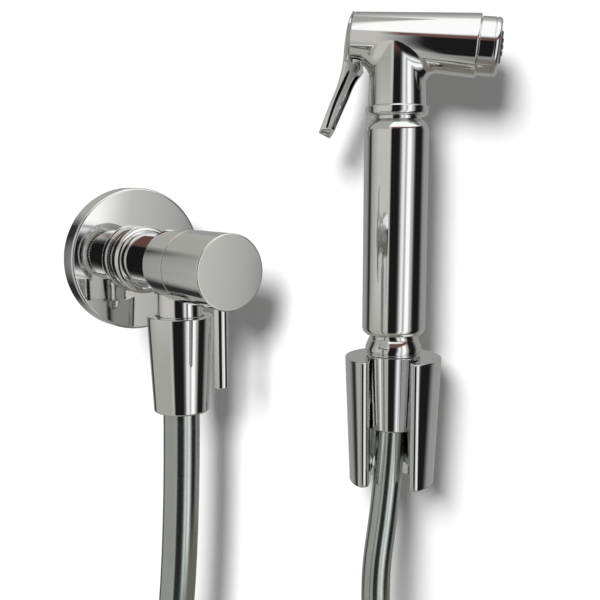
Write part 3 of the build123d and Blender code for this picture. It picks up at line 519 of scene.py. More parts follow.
class Graph:
    """A short way to add and join shader nodes."""

    def __init__(self, tree: bpy.types.NodeTree) -> None:
        self.tree = tree
        tree.nodes.clear()

    def node(self, kind: str, inputs: dict | None = None, **settings) -> bpy.types.Node:
        """Adds a node, sets its properties and fills or links its inputs."""
        made = self.tree.nodes.new(kind)
        for key, value in settings.items():
            setattr(made, key, value)
        for key, value in (inputs or {}).items():
            if isinstance(value, Socket):
                self.tree.links.new(value, made.inputs[key])
            else:
                made.inputs[key].default_value = value
        return made

    def math(self, operation: str, *values: object) -> Socket:
        """A math node on one, two or three values."""
        made = self.node("ShaderNodeMath", dict(enumerate(values)), operation=operation)
        return made.outputs[0]

    def dot(self, one: object, other: object) -> Socket:
        """Dot product of two vectors."""
        made = self.node("ShaderNodeVectorMath", {0: one, 1: other}, operation="DOT_PRODUCT")
        return made.outputs["Value"]

    def ranged(self, value: object, low: float, high: float) -> Socket:
        """Zero at low, one at high and a straight line between them."""
        made = self.node("ShaderNodeMapRange", {"Value": value, "From Min": low, "From Max": high})
        return made.outputs[0]

    def between(self, value: object, low: float, high: float, soft: float) -> Socket:
        """One inside a range of values and zero outside it, with soft ends."""
        rising = self.ranged(value, low - soft, low + soft)
        return self.math("MULTIPLY", rising, self.ranged(value, high + soft, high - soft))

    def ramp(self, factor: Socket,
             stops: Sequence[tuple[float, str]]) -> Socket:
        """A colour ramp with (position, hex) stops."""
        made = self.node("ShaderNodeValToRGB", {"Fac": factor})
        elements = made.color_ramp.elements
        while len(elements) > 1:
            elements.remove(elements[-1])
        elements[0].position, elements[0].color = stops[0][0], srgb(stops[0][1])
        for position, code in stops[1:]:
            elements.new(position).color = srgb(code)
        return made.outputs["Color"]

    def mix(self, factor: object, one: object, other: object) -> Socket:
        """Mixes two colours."""
        made = self.node("ShaderNodeMix", data_type="RGBA")
        for socket, value in ((made.inputs[0], factor), (made.inputs[6], one), (made.inputs[7], other)):
            if isinstance(value, Socket):
                self.tree.links.new(value, socket)
            else:
                socket.default_value = value
        return made.outputs[2]


def new_material(name: str) -> tuple[Material, Graph]:
    """An empty material and the graph of its nodes."""
    material = bpy.data.materials.new(name)
    material.use_nodes = True
    return material, Graph(material.node_tree)


@dataclass(frozen=True)
class Finish:
    """A real finish: its colours, its gloss and the grain of its surface."""

    name: str
    colour: str
    shade: str
    metallic: float = 0.0
    roughness: float = 0.5
    roughness_spread: float = 0.05
    coat: float = 0.0
    wave_size: float = 60.0
    wave_depth: float = 0.01
    grain_size: float = 2500.0
    grain_depth: float = 0.02
    stretch: tuple[float, float, float] = (1.0, 1.0, 1.0)


FINISHES = {
    Slot.CHROME: Finish("polished chrome plate", "#e6e6e3", "#dfe1e2", metallic=1.0, roughness=0.03,
                        roughness_spread=0.025, wave_size=48.0, wave_depth=0.014, grain_depth=0.004),
    Slot.HOSE: Finish("silver flexible hose", "#c9cfcb", "#b9bfbb", metallic=0.97, roughness=0.14,
                      roughness_spread=0.04, coat=0.2, wave_size=70.0, wave_depth=0.04, grain_size=900.0,
                      grain_depth=0.02),
    Slot.NOZZLE: Finish("grey moulded plastic", "#8d8f90", "#7f8182", roughness=0.38, roughness_spread=0.1,
                        grain_size=1800.0, grain_depth=0.08),
    Slot.RUBBER: Finish("black rubber", "#1b1b1b", "#121212", roughness=0.62, roughness_spread=0.12,
                        grain_size=2200.0, grain_depth=0.16),
    Slot.CERAMIC: Finish("lapped ceramic", "#ebe8dd", "#dedacd", roughness=0.25, grain_depth=0.03),
    Slot.BRASS: Finish("turned brass", "#c9a255", "#b08a42", metallic=1.0, roughness=0.26,
                       roughness_spread=0.09, grain_size=1400.0, grain_depth=0.07,
                       stretch=(1.0, 1.0, 9.0)),
    Slot.STEEL: Finish("stainless steel", "#bcbdbb", "#a5a6a4", metallic=1.0, roughness=0.22,
                       roughness_spread=0.08, grain_size=1600.0, grain_depth=0.05,
                       stretch=(1.0, 9.0, 1.0)),
}

GRAIN_RANGE = (0.3, 0.7)
WAVE_STEP = 0.001
GRAIN_STEP = 0.0002
COAT_ROUGHNESS = 0.05


def build_material(finish: Finish) -> Material:
    """Makes one material from a real finish.

    Args:
        finish: The finish's colours, gloss and grain.

    Returns:
        A material with broad waves, fine grain and uneven gloss in object space.
    """
    material, graph = new_material(finish.name)
    place = graph.node("ShaderNodeTexCoord").outputs["Object"]
    stretched = graph.node("ShaderNodeMapping", {"Vector": place, "Scale": finish.stretch}).outputs[0]
    cloud = graph.node("ShaderNodeTexNoise", {"Vector": place, "Scale": finish.wave_size, "Detail": 2.0})
    grain = graph.node("ShaderNodeTexNoise", {
        "Vector": stretched, "Scale": finish.grain_size, "Detail": 3.0})
    colour = graph.mix(cloud.outputs[0], srgb(finish.colour), srgb(finish.shade))
    gloss = graph.node("ShaderNodeMapRange", {
        "Value": grain.outputs[0], "From Min": GRAIN_RANGE[0], "From Max": GRAIN_RANGE[1],
        "To Min": finish.roughness, "To Max": finish.roughness + finish.roughness_spread})
    waves = graph.node("ShaderNodeBump", {
        "Height": cloud.outputs[0], "Strength": finish.wave_depth, "Distance": WAVE_STEP})
    surface = graph.node("ShaderNodeBump", {
        "Height": grain.outputs[0], "Strength": finish.grain_depth, "Distance": GRAIN_STEP,
        "Normal": waves.outputs[0]})
    shader = graph.node("ShaderNodeBsdfPrincipled", {
        "Base Color": colour, "Metallic": finish.metallic, "Roughness": gloss.outputs[0],
        "Coat Weight": finish.coat, "Coat Roughness": COAT_ROUGHNESS, "Normal": surface.outputs[0],
    })
    graph.node("ShaderNodeOutputMaterial", {"Surface": shader.outputs[0]})
    return material


# Wall valve


def build_rosette(finish: Material) -> None:
    """Pressed rosette with a rolled edge and a hole round the shank."""
    outer, wall, foot = VALVE.rosette_d / 2, VALVE.rosette_wall, -VALVE.rosette_depth
    hole = VALVE.shank_d / 2 + VALVE.shank_gap
    outline = rounded([(hole, -wall), (hole, 0), (outer, 0), (outer, foot), (outer - wall, foot),
                       (outer - wall, -wall), (hole, -wall)],
                      {1: SMALL_EDGE, 2: VALVE.rosette_edge, 3: SMALL_EDGE, 5: 0.6})
    turned("rosette_plate", outline, VALVE.place, Body.WALL, finish, "rosette", steps=224)


def build_casting(finish: Material) -> None:
    """Valve casting: step, beaded collar, shank, barrel and the outlet below it."""
    shank, step = VALVE.shank_d / 2, VALVE.step_d / 2
    collar, barrel = VALVE.collar_d / 2, VALVE.barrel_d / 2
    lip, floor = barrel - VALVE.seam_lip, VALVE.seam - VALVE.seam_depth
    axis_line = rounded([
        (0, VALVE.thread_start), (shank, VALVE.thread_start), (shank, VALVE.step_start),
        (step, VALVE.step_start), (step, VALVE.collar_start), (collar, VALVE.collar_start),
        (collar, VALVE.collar_end), (shank, VALVE.collar_end), (shank, VALVE.barrel_start),
        (barrel, VALVE.barrel_start), (barrel, VALVE.seam), (lip, VALVE.seam), (lip, floor), (0, floor),
    ], {3: SMALL_EDGE, 5: 1.3, 6: 2.2, 8: 1.2, 9: 0.5, 10: 0.25})
    casting = lathe(axis_line)
    outlet, foot = VALVE.outlet_d / 2, -VALVE.outlet_drop - VALVE.outlet_root
    neck = lathe([(0, foot), (outlet, foot), (outlet, 0), (0, 0)])
    down = Matrix.Translation((0, 0, VALVE.outlet_station)) @ Matrix.Rotation(math.radians(-90), 4, "X")
    bmesh.ops.transform(neck, matrix=down, verts=neck.verts)
    join_into(casting, neck)
    obj = make_object("valve_casting", casting, VALVE.place)
    dress(obj, Body.WALL, Slot.CHROME, finish, "valve_body")


def build_inlet_thread(finish: Material) -> None:
    """Screw thread on the inlet tail, behind the rosette, fading in and out at its ends."""
    crest, root, pitch = VALVE.thread_d / 2, VALVE.thread_root_d / 2, VALVE.thread_pitch
    steps, rows_per_pitch, fade_share = 72, 8, 1 / 3
    length = VALVE.thread_start - VALVE.thread_end
    rows = round(length / pitch * rows_per_pitch)
    spokes = [(math.cos(TURN * index / steps), math.sin(TURN * index / steps)) for index in range(steps)]
    bore = VALVE.bore_d / 2
    rings = [[Vector((bore * x, bore * y, VALVE.thread_end)) for x, y in spokes]]
    for row in range(rows + 1):
        height = VALVE.thread_end + length * row / rows
        fade = min(1.0, row / rows / fade_share, (rows - row) / rows / fade_share)
        ring = []
        for index, (x, y) in enumerate(spokes):
            phase = (height / pitch - index / steps) % 1.0
            radius = root + (crest - root) * fade * (1.0 - abs(2.0 * phase - 1.0))
            ring.append(Vector((radius * x, radius * y, height)))
        rings.append(ring)
    obj = make_object("inlet_thread", skin(rings, caps=False), VALVE.place)
    dress(obj, Body.WALL, Slot.CHROME, finish)


def build_tap_handle(finish: Material) -> None:
    """Cylindrical handle with a crisp flat end, and its lever pin."""
    radius, lip = VALVE.barrel_d / 2, VALVE.barrel_d / 2 - VALVE.seam_lip
    start = VALVE.seam + VALVE.seam_gap
    floor = start + VALVE.seam_depth
    outline = rounded([(0, floor), (lip, floor), (lip, start), (radius, start),
                       (radius, VALVE.handle_end), (0, VALVE.handle_end)],
                      {3: 0.25, 4: VALVE.handle_edge})
    turned("tap_handle_shell", outline, VALVE.place, Body.TAP, finish, "valve_handle",
           steps=FINE_LATHE_STEPS)
    pin, root = VALVE.pin_d / 2, radius - VALVE.pin_root
    outline = rounded([(0, root), (pin, root), (pin, VALVE.pin_drop), (0, VALVE.pin_drop)],
                      {2: VALVE.pin_round})
    down = Matrix.Translation((0, 0, VALVE.pin_station)) @ Matrix.Rotation(math.radians(90), 4, "X")
    turned("tap_lever_pin", outline, VALVE.place @ down, Body.TAP, finish, "handle_pin", steps=96)


# Hose nuts


def build_nut(name: str, place: Matrix, body: Body, node: str, finish: Material) -> None:
    """Long conical nut, open at the foot where the hose comes out."""
    top, bottom, mouth = NUT.top_d / 2, NUT.bottom_d / 2, NUT.mouth_d / 2
    socket, foot = NUT.socket_d / 2, -NUT.length
    outline = rounded([(socket, -2), (socket, 0), (top, 0), (bottom, foot), (mouth, foot),
                       (mouth, foot + NUT.mouth_depth)],
                      {1: SMALL_EDGE, 2: 0.45, 3: NUT.edge, 4: 0.4})
    turned(name, outline, place, body, finish, node)


# Hand spray


def build_spray_foot(finish: Material) -> None:
    """Bulb with its turned line, narrowing to the waist under the grip."""
    bulb, waist = SPRAY.bulb_d / 2, SPRAY.waist_d / 2
    line, seat = bulb - SPRAY.line_depth, SPRAY.seat_d / 2
    crown = [(bulb + out, height) for out, height in SPRAY.bulb_curve]
    crown += [(waist + out, height) for out, height in SPRAY.waist_curve]
    heights = list(np.linspace(crown[0][1], crown[-1][1], 22))
    curve = list(zip(smooth_curve(crown, heights), heights))
    line_foot, line_floor, line_top = SPRAY.line_heights
    foot = rounded([(seat, -SPRAY.seat_drop), (seat, SPRAY.seat), (bulb, SPRAY.seat), (bulb, line_foot),
                    (line, line_floor), (line, line_top)], {2: SMALL_EDGE, 3: 0.12})
    outline = [*foot, *curve, (waist, SPRAY.waist), (waist - 1.2, SPRAY.waist)]
    turned("spray_foot", outline, SPRAY.place, Body.SPRAY, finish, "end_fitting")


def build_grip(finish: Material) -> None:
    """Tubular grip with round shoulders."""
    waist, radius, neck = SPRAY.waist_d / 2, SPRAY.grip_d / 2, SPRAY.groove_d / 2
    outline = rounded([(waist - SPRAY.hidden_lip, SPRAY.waist), (waist, SPRAY.waist),
                       (radius, SPRAY.grip_foot), (radius, SPRAY.grip_head), (neck, SPRAY.grip_top),
                       (neck - SPRAY.hidden_lip, SPRAY.grip_top)],
                      {2: SPRAY.grip_foot_round, 3: SPRAY.grip_head_round}, 16)
    turned("grip_tube", outline, SPRAY.place, Body.SPRAY, finish, "grip", steps=FINE_LATHE_STEPS)


# Head: rays start on the neck's or the barrel's axis and end where they leave its form

OUTSIDE = 50.0
BLEND_RUN = 6.0
NECK_RAY = (4.0, 24.0)
BARREL_RAY = (6.0, 24.0)
NECK_ROWS = 30
BARREL_ROWS = 42
BARREL_CROWDING = 1.25
BARREL_SPREAD = (15.0, 1.45)
COLUMNS = (34, 44, 34)
RAY_STEPS = 100
HALVINGS = 30
SEAM_HALVINGS = 36
SKIN_STEP = 1e-3
UNDERCUT = 0.004


class HeadForm:
    """The head's outer form: the neck's cone and the barrel's cone with a blend between them.

    Lengths are millimetres in the head's own axes: the origin is where both axes cross, X along the
    spray's nozzle side, Y sideways and Z up, with the neck below.
    """

    def __init__(self) -> None:
        dip = math.radians(SPRAY.head_dip_deg)
        self.way = np.array((math.cos(dip), 0.0, -math.sin(dip)))
        self.up = np.array((math.sin(dip), 0.0, math.cos(dip)))
        self.neck_foot = SPRAY.bead_top - SPRAY.head_height

    def barrel_radius(self, station: np.ndarray) -> np.ndarray:
        """Radius of the barrel at stations along its axis."""
        slope = (SPRAY.front_d - SPRAY.rear_d) / 2 / (SPRAY.rear + SPRAY.front)
        return SPRAY.rear_d / 2 + (station + SPRAY.rear) * slope

    def neck_radius(self, height: np.ndarray) -> np.ndarray:
        """Radius of the neck at heights below the crossing."""
        share = (height - self.neck_foot) / -self.neck_foot
        return SPRAY.neck_d / 2 + share * (SPRAY.neck_top_d - SPRAY.neck_d) / 2

    def parts(self, point: np.ndarray) -> tuple[np.ndarray, np.ndarray, np.ndarray]:
        """Distance to the neck, distance to the barrel and the blend's radius."""
        x, y, z = point[..., 0], point[..., 1], point[..., 2]
        rise = point @ self.up
        neck_arm = np.hypot(x, y)
        barrel_arm = np.hypot(rise, y)
        neck = np.where(rise > 0.0, OUTSIDE, neck_arm - self.neck_radius(z))
        barrel = barrel_arm - self.barrel_radius(point @ self.way - SPRAY.head_forward)
        facing = (x * rise * self.up[0] + y * y) / np.maximum(neck_arm * barrel_arm, 1e-6)
        middle = (SPRAY.rear_blend + SPRAY.front_blend) / 2
        lean = (SPRAY.rear_blend - SPRAY.front_blend) / 2
        radius = (middle - lean * np.tanh(x / BLEND_RUN)) * (1.0 - np.clip(facing, 0.0, 1.0)) + 1e-3
        return neck, barrel, radius

    def level(self, point: np.ndarray) -> np.ndarray:
        """Negative inside the form, zero on its skin."""
        neck, barrel, radius = self.parts(point)
        inner = np.hypot(np.maximum(radius - neck, 0.0), np.maximum(radius - barrel, 0.0))
        return np.maximum(radius, np.minimum(neck, barrel)) - inner

    def reach(self, origin: np.ndarray, way: np.ndarray, span: tuple[float, float]) -> np.ndarray:
        """Distance along each ray to the first place where it leaves the form, or the span's end."""
        steps = np.linspace(*span, RAY_STEPS)
        spots = origin[..., None, :] + way[..., None, :] * steps[:, None]
        outside = self.level(spots) > 0.0
        first = np.argmax(outside, axis=-1)
        found = outside.any(axis=-1)
        high = steps[first]
        low = steps[np.maximum(first - 1, 0)]
        for _ in range(HALVINGS):
            middle = (low + high) / 2
            out = self.level(origin + way * middle[..., None]) > 0.0
            high = np.where(out, middle, high)
            low = np.where(out, low, middle)
        return np.where(found, (low + high) / 2, span[1])

    def normal(self, point: np.ndarray) -> np.ndarray:
        """Outward unit normals on the skin."""
        moves = SKIN_STEP * np.eye(3)
        normal = np.stack([self.level(point + move) - self.level(point - move) for move in moves], axis=-1)
        return normal / np.linalg.norm(normal, axis=-1, keepdims=True)


def seam_heights(form: HeadForm, ways: np.ndarray) -> np.ndarray:
    """Height at which neck and barrel are equally near, for each direction round the neck."""
    low = np.full(len(ways), form.neck_foot + 0.5)
    high = np.full(len(ways), 0.0)
    for _ in range(SEAM_HALVINGS):
        middle = (low + high) / 2
        origin = np.zeros((len(ways), 3))
        origin[:, 2] = middle
        reach = form.reach(origin, ways, NECK_RAY)
        spot = origin + ways * reach[:, None]
        neck, barrel, _ = form.parts(spot)
        below = (barrel > neck) & (reach < NECK_RAY[1])
        low = np.where(below, middle, low)
        high = np.where(below, high, middle)
    return (low + high) / 2


def head_rings() -> tuple[list[np.ndarray], list[np.ndarray]]:
    """Rings of the neck up to the seam, and rings of the barrel from the seam to its borders."""
    form = HeadForm()
    rear = SPRAY.head_forward - SPRAY.rear + SPRAY.edge
    front = SPRAY.head_forward + SPRAY.front - SPRAY.edge
    reach_s, reach_p = BARREL_SPREAD
    front_corner = math.atan2(math.pi / reach_p, front / reach_s)
    rear_corner = math.atan2(math.pi / reach_p, rear / reach_s)
    turns = (0.0, front_corner, rear_corner, math.pi)
    half = [angle for start, end, count in zip(turns, turns[1:], COLUMNS)
            for angle in np.linspace(start, end, count)[:-1]] + [math.pi]
    angles = np.array([*half, *[-angle for angle in half[-2:0:-1]]])
    ways = np.stack([np.cos(angles), np.sin(angles), np.zeros(len(angles))], axis=-1)
    top = seam_heights(form, ways)
    neck_rings = []
    for share in np.linspace(0.0, 1.0, NECK_ROWS):
        origin = np.zeros((len(angles), 3))
        origin[:, 2] = form.neck_foot + share * (top - form.neck_foot)
        neck_rings.append(origin + ways * form.reach(origin, ways, NECK_RAY)[:, None])
    seam = neck_rings[-1]
    station = seam @ form.way
    around = np.arctan2(seam[:, 1], -(seam @ form.up))
    slant_s, slant_p = np.cos(angles) * reach_s, np.sin(angles) * reach_p
    to_side = np.where(slant_s > 0, front, rear) / np.where(np.abs(slant_s) < 1e-9, 1e-9, slant_s)
    to_top = math.pi / np.maximum(np.abs(slant_p), 1e-9)
    travel = np.minimum(np.abs(to_side), to_top)
    barrel_rings = [seam]
    for share in np.linspace(0.0, 1.0, BARREL_ROWS)[1:] ** BARREL_CROWDING:
        s = station + share * (slant_s * travel - station)
        p = around + share * (slant_p * travel - around)
        ray = -np.cos(p)[:, None] * form.up + np.sin(p)[:, None] * np.array((0.0, 1.0, 0.0))
        origin = s[:, None] * form.way
        barrel_rings.append(origin + ray * form.reach(origin, ray, BARREL_RAY)[:, None])
    return neck_rings, barrel_rings


def build_head_shell(finish: Material) -> None:
    """Neck and barrel as one blended skin with exact normals."""
    form = HeadForm()
    neck_rings, barrel_rings = head_rings()
    bm = bmesh.new()
    bridge(bm, [*neck_rings, *barrel_rings[1:]])
    bmesh.ops.remove_doubles(bm, verts=bm.verts, dist=1e-4)
    bm.verts.index_update()
    points = np.array([vert.co[:] for vert in bm.verts])
    normals = form.normal(points)
    place = Matrix.Translation((*SPRAY.axis, SPRAY.nut_top + SPRAY.head_height))
    obj = make_object("head_shell", bm, place, normals)
    dress(obj, Body.SPRAY, Slot.CHROME, finish, "spray_head")


def build_head_turnings(finish: Material) -> None:
    """The head's turned details: bead and groove below, rounded ends and the pocket behind."""
    groove, bead, neck = SPRAY.groove_d / 2, SPRAY.bead_d / 2, SPRAY.neck_d / 2
    foot = SPRAY.grip_top + 0.02
    collar = rounded([(groove - SPRAY.hidden_lip, foot), (groove, foot), (groove, SPRAY.bead_bottom),
                      (bead, SPRAY.bead_bottom), (bead, SPRAY.bead_top), (neck - 0.6, SPRAY.bead_top)],
                     {2: 0.25, 3: SPRAY.bead_foot_round, 4: SPRAY.bead_round}, 10)
    turned("head_bead", collar, SPRAY.place, Body.SPRAY, finish)
    form = HeadForm()

    def skin_point(station: float) -> tuple[float, float]:
        return float(form.barrel_radius(station)) - UNDERCUT, station

    rear, front, pocket = -SPRAY.rear, SPRAY.front, SPRAY.pocket_d / 2
    floor = rear + SPRAY.pocket_depth
    back = rounded([skin_point(rear + 2), skin_point(rear), (pocket, rear), (pocket, floor),
                    (SPRAY.pocket_hole, floor)], {1: SPRAY.edge, 2: 0.4}, 10)
    turned("head_back", back, SPRAY.head_place, Body.SPRAY, finish)
    face = rounded([skin_point(front - 2), skin_point(front), (SPRAY.cap_d / 2 - 1.2, front)],
                   {1: SPRAY.edge}, 10)
    turned("head_face", face, SPRAY.head_place, Body.SPRAY, finish)


def build_nozzle(chrome: Material, plastic: Material) -> None:
    """Nozzle cap with its turned line, and the domed spray plate with its jets."""
    radius, mouth = SPRAY.cap_d / 2, SPRAY.cap_mouth_d / 2
    root = radius - SPRAY.cap_root
    low, high = SPRAY.front + SPRAY.cap_gap, SPRAY.front + SPRAY.cap_length
    line, half = high - SPRAY.cap_line_back, SPRAY.cap_line_half
    cap = rounded([(root, low), (radius, low), (radius, line - half),
                   (radius - SPRAY.cap_line_depth, line), (radius, line + half), (radius, high),
                   (mouth, high), (mouth, high - SPRAY.cap_lip)],
                  {1: SMALL_EDGE, 5: SPRAY.cap_round, 6: 0.25}, 10)
    turned("nozzle_cap", cap, SPRAY.head_place, Body.SPRAY, chrome, "nozzle_ring")
    turned("nozzle_gap", [(root, low), (root, SPRAY.front - 0.2)], SPRAY.head_place, Body.SPRAY, chrome)
    build_spray_plate(plastic, high - SPRAY.plate_recess, mouth - 0.05)


JET_RINGS = ((0.0, 1), (3.2, 6), (6.2, 12))
JET_OUTLINE = ((0.95, -0.3), (0.85, 0.45), (0.5, 0.45), (0.5, -0.5), (0, -0.5))


def build_spray_plate(finish: Material, face: float, radius: float) -> None:
    """Domed plate with rings of raised jets, each with a hole.

    Args:
        finish: Material of the plate.
        face: Height of the dome's edge on the head's axis.
        radius: Radius of the plate.
    """
    rise = SPRAY.dome_rise
    ball = (radius * radius + rise * rise) / (2 * rise)

    def height(at: float) -> float:
        return face + rise - ball + math.sqrt(ball * ball - at * at)

    dome = [(at, height(at)) for at in np.linspace(0.0, radius - 0.2, 28)]
    plate = lathe([(radius, face - 1.6), (radius, face - 0.1), *reversed(dome)], 96)
    for ring_radius, count in JET_RINGS:
        for number in range(count):
            angle = TURN * number / count
            jet = lathe(rounded(JET_OUTLINE, {1: 0.2}, 4), 20)
            spot = Matrix.Translation((ring_radius * math.cos(angle), ring_radius * math.sin(angle),
                                       height(ring_radius)))
            bmesh.ops.transform(jet, matrix=spot, verts=jet.verts)
            join_into(plate, jet)
    obj = make_object("spray_face", plate, SPRAY.head_place)
    dress(obj, Body.SPRAY, Slot.NOZZLE, finish, "spray_plate")


# Trigger


@dataclass(frozen=True)
class LeverShape:
    """Trigger: (forward, height) points above the hose nut, lowest first, and its widths."""

    tip: float = 103.0
    tip_back: float = 105.4
    top: float = 161.0
    back: tuple[tuple[float, float], ...] = (
        (-36.7, 105.4), (-31.4, 118.6), (-27.8, 127.2), (-25.2, 137.8), (-24.5, 145.5), (-23.1, 153.6),
        (-20.6, 161.0),
    )
    tip_edge: tuple[tuple[float, float], ...] = ((-31.9, 103.0), (-36.7, 105.4))
    front: tuple[tuple[float, float], ...] = (
        (-31.9, 103.0), (-24.2, 120.4), (-19.2, 130.6), (-16.5, 133.9), (-17.0, 135.9), (-22.37, 137.8),
    )
    plate_face: tuple[tuple[float, float], ...] = ((-22.37, 137.8), (-20.12, 159.9), (-20.5, 161.0))
    widths: tuple[tuple[float, float], ...] = ((5.4, 107.0), (6.5, 134.8), (7.5, 152.8))
    tip_width: float = 5.4
    top_radius: float = 7.5
    tip_solid: float = 107.5
    wall: float = 2.1
    ear_room: float = 4.3
    dome: float = 0.9
    edge: float = 1.1
    groove: tuple[tuple[float, float], ...] = (
        (-32.5, 107.0), (-27.7, 120.0), (-24.4, 127.6), (-21.4, 133.9),
    )
    groove_half: float = 0.95
    groove_depth: float = 1.9
    groove_ease: float = 0.3
    front_corners: tuple[float, ...] = (133.9, 135.9, 137.79, 137.81)
    web_middle: tuple[float, float, float] = (-18.55, 0.0, 137.4)
    web_size: tuple[float, float, float] = (4.1, 8.0, 5.2)


@dataclass(frozen=True)
class PivotShape:
    """Riveted pin of the trigger and the round knuckle that it runs through."""

    pin_r: float = 1.3
    head_r: float = 2.2
    head_start: float = 6.5
    head_end: float = 7.0
    knuckle_gap: float = 0.05
    knuckle_r: float = 2.9
    knuckle_half: float = 4.0


LEVER = LeverShape()
PIVOT = PivotShape()


def lever_half_width(height: float) -> float:
    """Half width of the trigger at a height, round at the top and at the tip."""
    middle = smooth_curve(LEVER.widths, [height])[0]
    low = height - LEVER.tip
    high = LEVER.top - height
    if high < LEVER.top_radius:
        return math.sqrt(max(LEVER.top_radius ** 2 - (LEVER.top_radius - high) ** 2, 1e-4))
    if low < LEVER.tip_width:
        share = (LEVER.tip_width - low) / LEVER.tip_width
        return middle * math.sqrt(max(1.0 - share * share, 1e-4))
    return middle


def read_line(points: Outline, height: float) -> float:
    """Value of a straight-sided line through (value, height) points at a height."""
    return float(np.interp(height, [p[1] for p in points], [p[0] for p in points]))


def lever_section(height: float) -> list[Vector]:
    """Closed outline of the trigger at one height."""
    if height < LEVER.tip_back:
        back = read_line(LEVER.tip_edge, height)
    else:
        back = smooth_curve(LEVER.back, [height])[0]
    if height <= LEVER.front[2][1]:
        front = smooth_curve(LEVER.front[:4], [height])[0]
    elif height <= LEVER.front[-1][1]:
        front = read_line(LEVER.front, height)
    else:
        front = read_line(LEVER.plate_face, height)
    width = lever_half_width(height)
    depth = max(front - back, 0.05)
    dome = min(LEVER.dome, depth * 0.3) * (width / LEVER.top_radius)
    room = min(LEVER.ear_room, width * 0.78)
    hollow = LEVER.tip_solid < height < LEVER.front[-1][1] and depth > LEVER.wall + 0.3
    floor = back + LEVER.wall if hollow else front
    low, high = LEVER.groove[0][1], LEVER.groove[-1][1]
    groove, ease = (back + front) / 2, 0.0
    if low < height < high:
        groove = smooth_curve(LEVER.groove, [height])[0]
        ease = math.sin(math.pi * (height - low) / (high - low)) ** LEVER.groove_ease
    half, dent = LEVER.groove_half * ease, LEVER.groove_depth * ease
    arc = [(back + dome * (share ** 2), width * share) for share in np.linspace(0.0, 0.8, 9)]
    round_start = (back + dome * 0.64, width * 0.8)
    corner = min(LEVER.edge, depth * 0.35, width * 0.2)
    shoulder = [(round_start[0] + (corner + 0.2) * (1 - math.cos(a)),
                 round_start[1] + width * 0.2 * math.sin(a)) for a in np.linspace(0.25, math.pi / 2, 6)]
    side = [(groove - half, width), (groove + half * 0.6, width - dent),
            (groove + half * 0.7, width - dent), (groove + half, width),
            (front - min(0.3, depth * 0.1), width), (front, width - 0.3 * min(1.0, width))]
    inner = [(front, room + 0.2), (front - 0.1, room), (floor, room), (floor, room * 0.5), (floor, 0.0)]
    half_line = [*arc, *shoulder, *side, *inner]
    right = [Vector((x, y, height)) for x, y in half_line]
    left = [Vector((x, -y, height)) for x, y in reversed(half_line[1:-1])]
    return [*right, *left]


def build_trigger(finish: Material, steel: Material) -> None:
    """Trigger lever with its channel, its lug on the head and the pin through both."""
    tip_turns = np.linspace(0.02, math.pi / 2, 14)
    ends = [LEVER.tip + LEVER.tip_width * (1 - math.cos(a)) for a in tip_turns]
    top_turns = np.linspace(math.pi / 2, 0.02, 20)
    crown = [LEVER.top - LEVER.top_radius * (1 - math.cos(a)) for a in top_turns]
    middle = list(np.arange(ends[-1] + 0.6, crown[0] - 0.4, 0.6))
    corners = (LEVER.tip_back, LEVER.tip_solid + 0.01, *LEVER.front_corners)
    rings = [lever_section(height) for height in sorted([*ends, *middle, *crown, *corners])]
    dress(make_object("trigger_blade", skin(rings), SPRAY.place), Body.TRIGGER, Slot.CHROME, finish,
          "trigger_lever")
    across = Matrix.Rotation(math.pi / 2, 4, "X")
    place = SPRAY.place @ Matrix.Translation((SPRAY.pivot[0], 0, SPRAY.pivot[1])) @ across
    low, high = PIVOT.head_start, PIVOT.head_end
    pin = rounded([(0, -high), (PIVOT.head_r, -high), (PIVOT.head_r, -low), (PIVOT.pin_r, -low),
                   (PIVOT.pin_r, low), (PIVOT.head_r, low), (PIVOT.head_r, high), (0, high)],
                  {1: SMALL_EDGE, 6: SMALL_EDGE}, 4)
    turned("trigger_rivet", pin, place, Body.SPRAY, steel, "trigger_pin", steps=48, slot=Slot.STEEL)
    bore, half = PIVOT.pin_r + PIVOT.knuckle_gap, PIVOT.knuckle_half
    knuckle = rounded([(bore, -half), (PIVOT.knuckle_r, -half), (PIVOT.knuckle_r, half), (bore, half)],
                      {1: SMALL_EDGE, 2: SMALL_EDGE}, 4)
    turned("trigger_knuckle", knuckle, place, Body.SPRAY, finish, steps=64)
    web_place = SPRAY.place @ Matrix.Translation(LEVER.web_middle)
    dress(rounded_box("trigger_web", LEVER.web_size, web_place, 0.4, 3), Body.SPRAY, Slot.CHROME, finish)


# Holder


def cup_section(height: float, inset: float) -> list[Vector]:
    """Closed outline of the slotted cup at one height, drawn in by inset for its rims."""
    share = height / CUP.height + 0.5
    outer = (CUP.bottom_d + (CUP.top_d - CUP.bottom_d) * share) / 2 - inset
    if height <= CUP.nut_foot:
        inner = CUP.throat_d / 2
    else:
        rise = (height - CUP.nut_foot) / (CUP.height / 2 - CUP.nut_foot)
        inner = (CUP.throat_d + (CUP.mouth_d - CUP.throat_d) * rise) / 2
    inner += inset
    slot = CUP.slot / 2 + inset
    lip = CUP.lip
    reach = math.sqrt((outer - lip) ** 2 - (slot + lip) ** 2)
    start = math.atan2(slot + lip, reach)
    arc = [(outer * math.sin(angle), -outer * math.cos(angle))
           for angle in np.linspace(start, TURN - start, 150)]
    edge = []
    for share in np.linspace(0.0, 1.0, 13)[1:]:
        angle = start - (start + math.pi / 2) * share
        edge.append((-(slot + lip) - lip * math.sin(angle), -reach - lip * math.cos(angle)))
    inner_y = math.sqrt(inner * inner - slot * slot)
    edge += [(-slot, y) for y in np.linspace(-reach, -inner_y, 6)[1:]]
    inner_start = math.atan2(slot, inner_y)
    bore = [(inner * math.sin(angle), -inner * math.cos(angle))
            for angle in np.linspace(TURN - inner_start, inner_start, 90)[1:]]
    line = [*arc, *edge, *bore, *((-x, y) for x, y in reversed(edge[:-1]))]
    return [Vector((x, y, height)) for x, y in line]


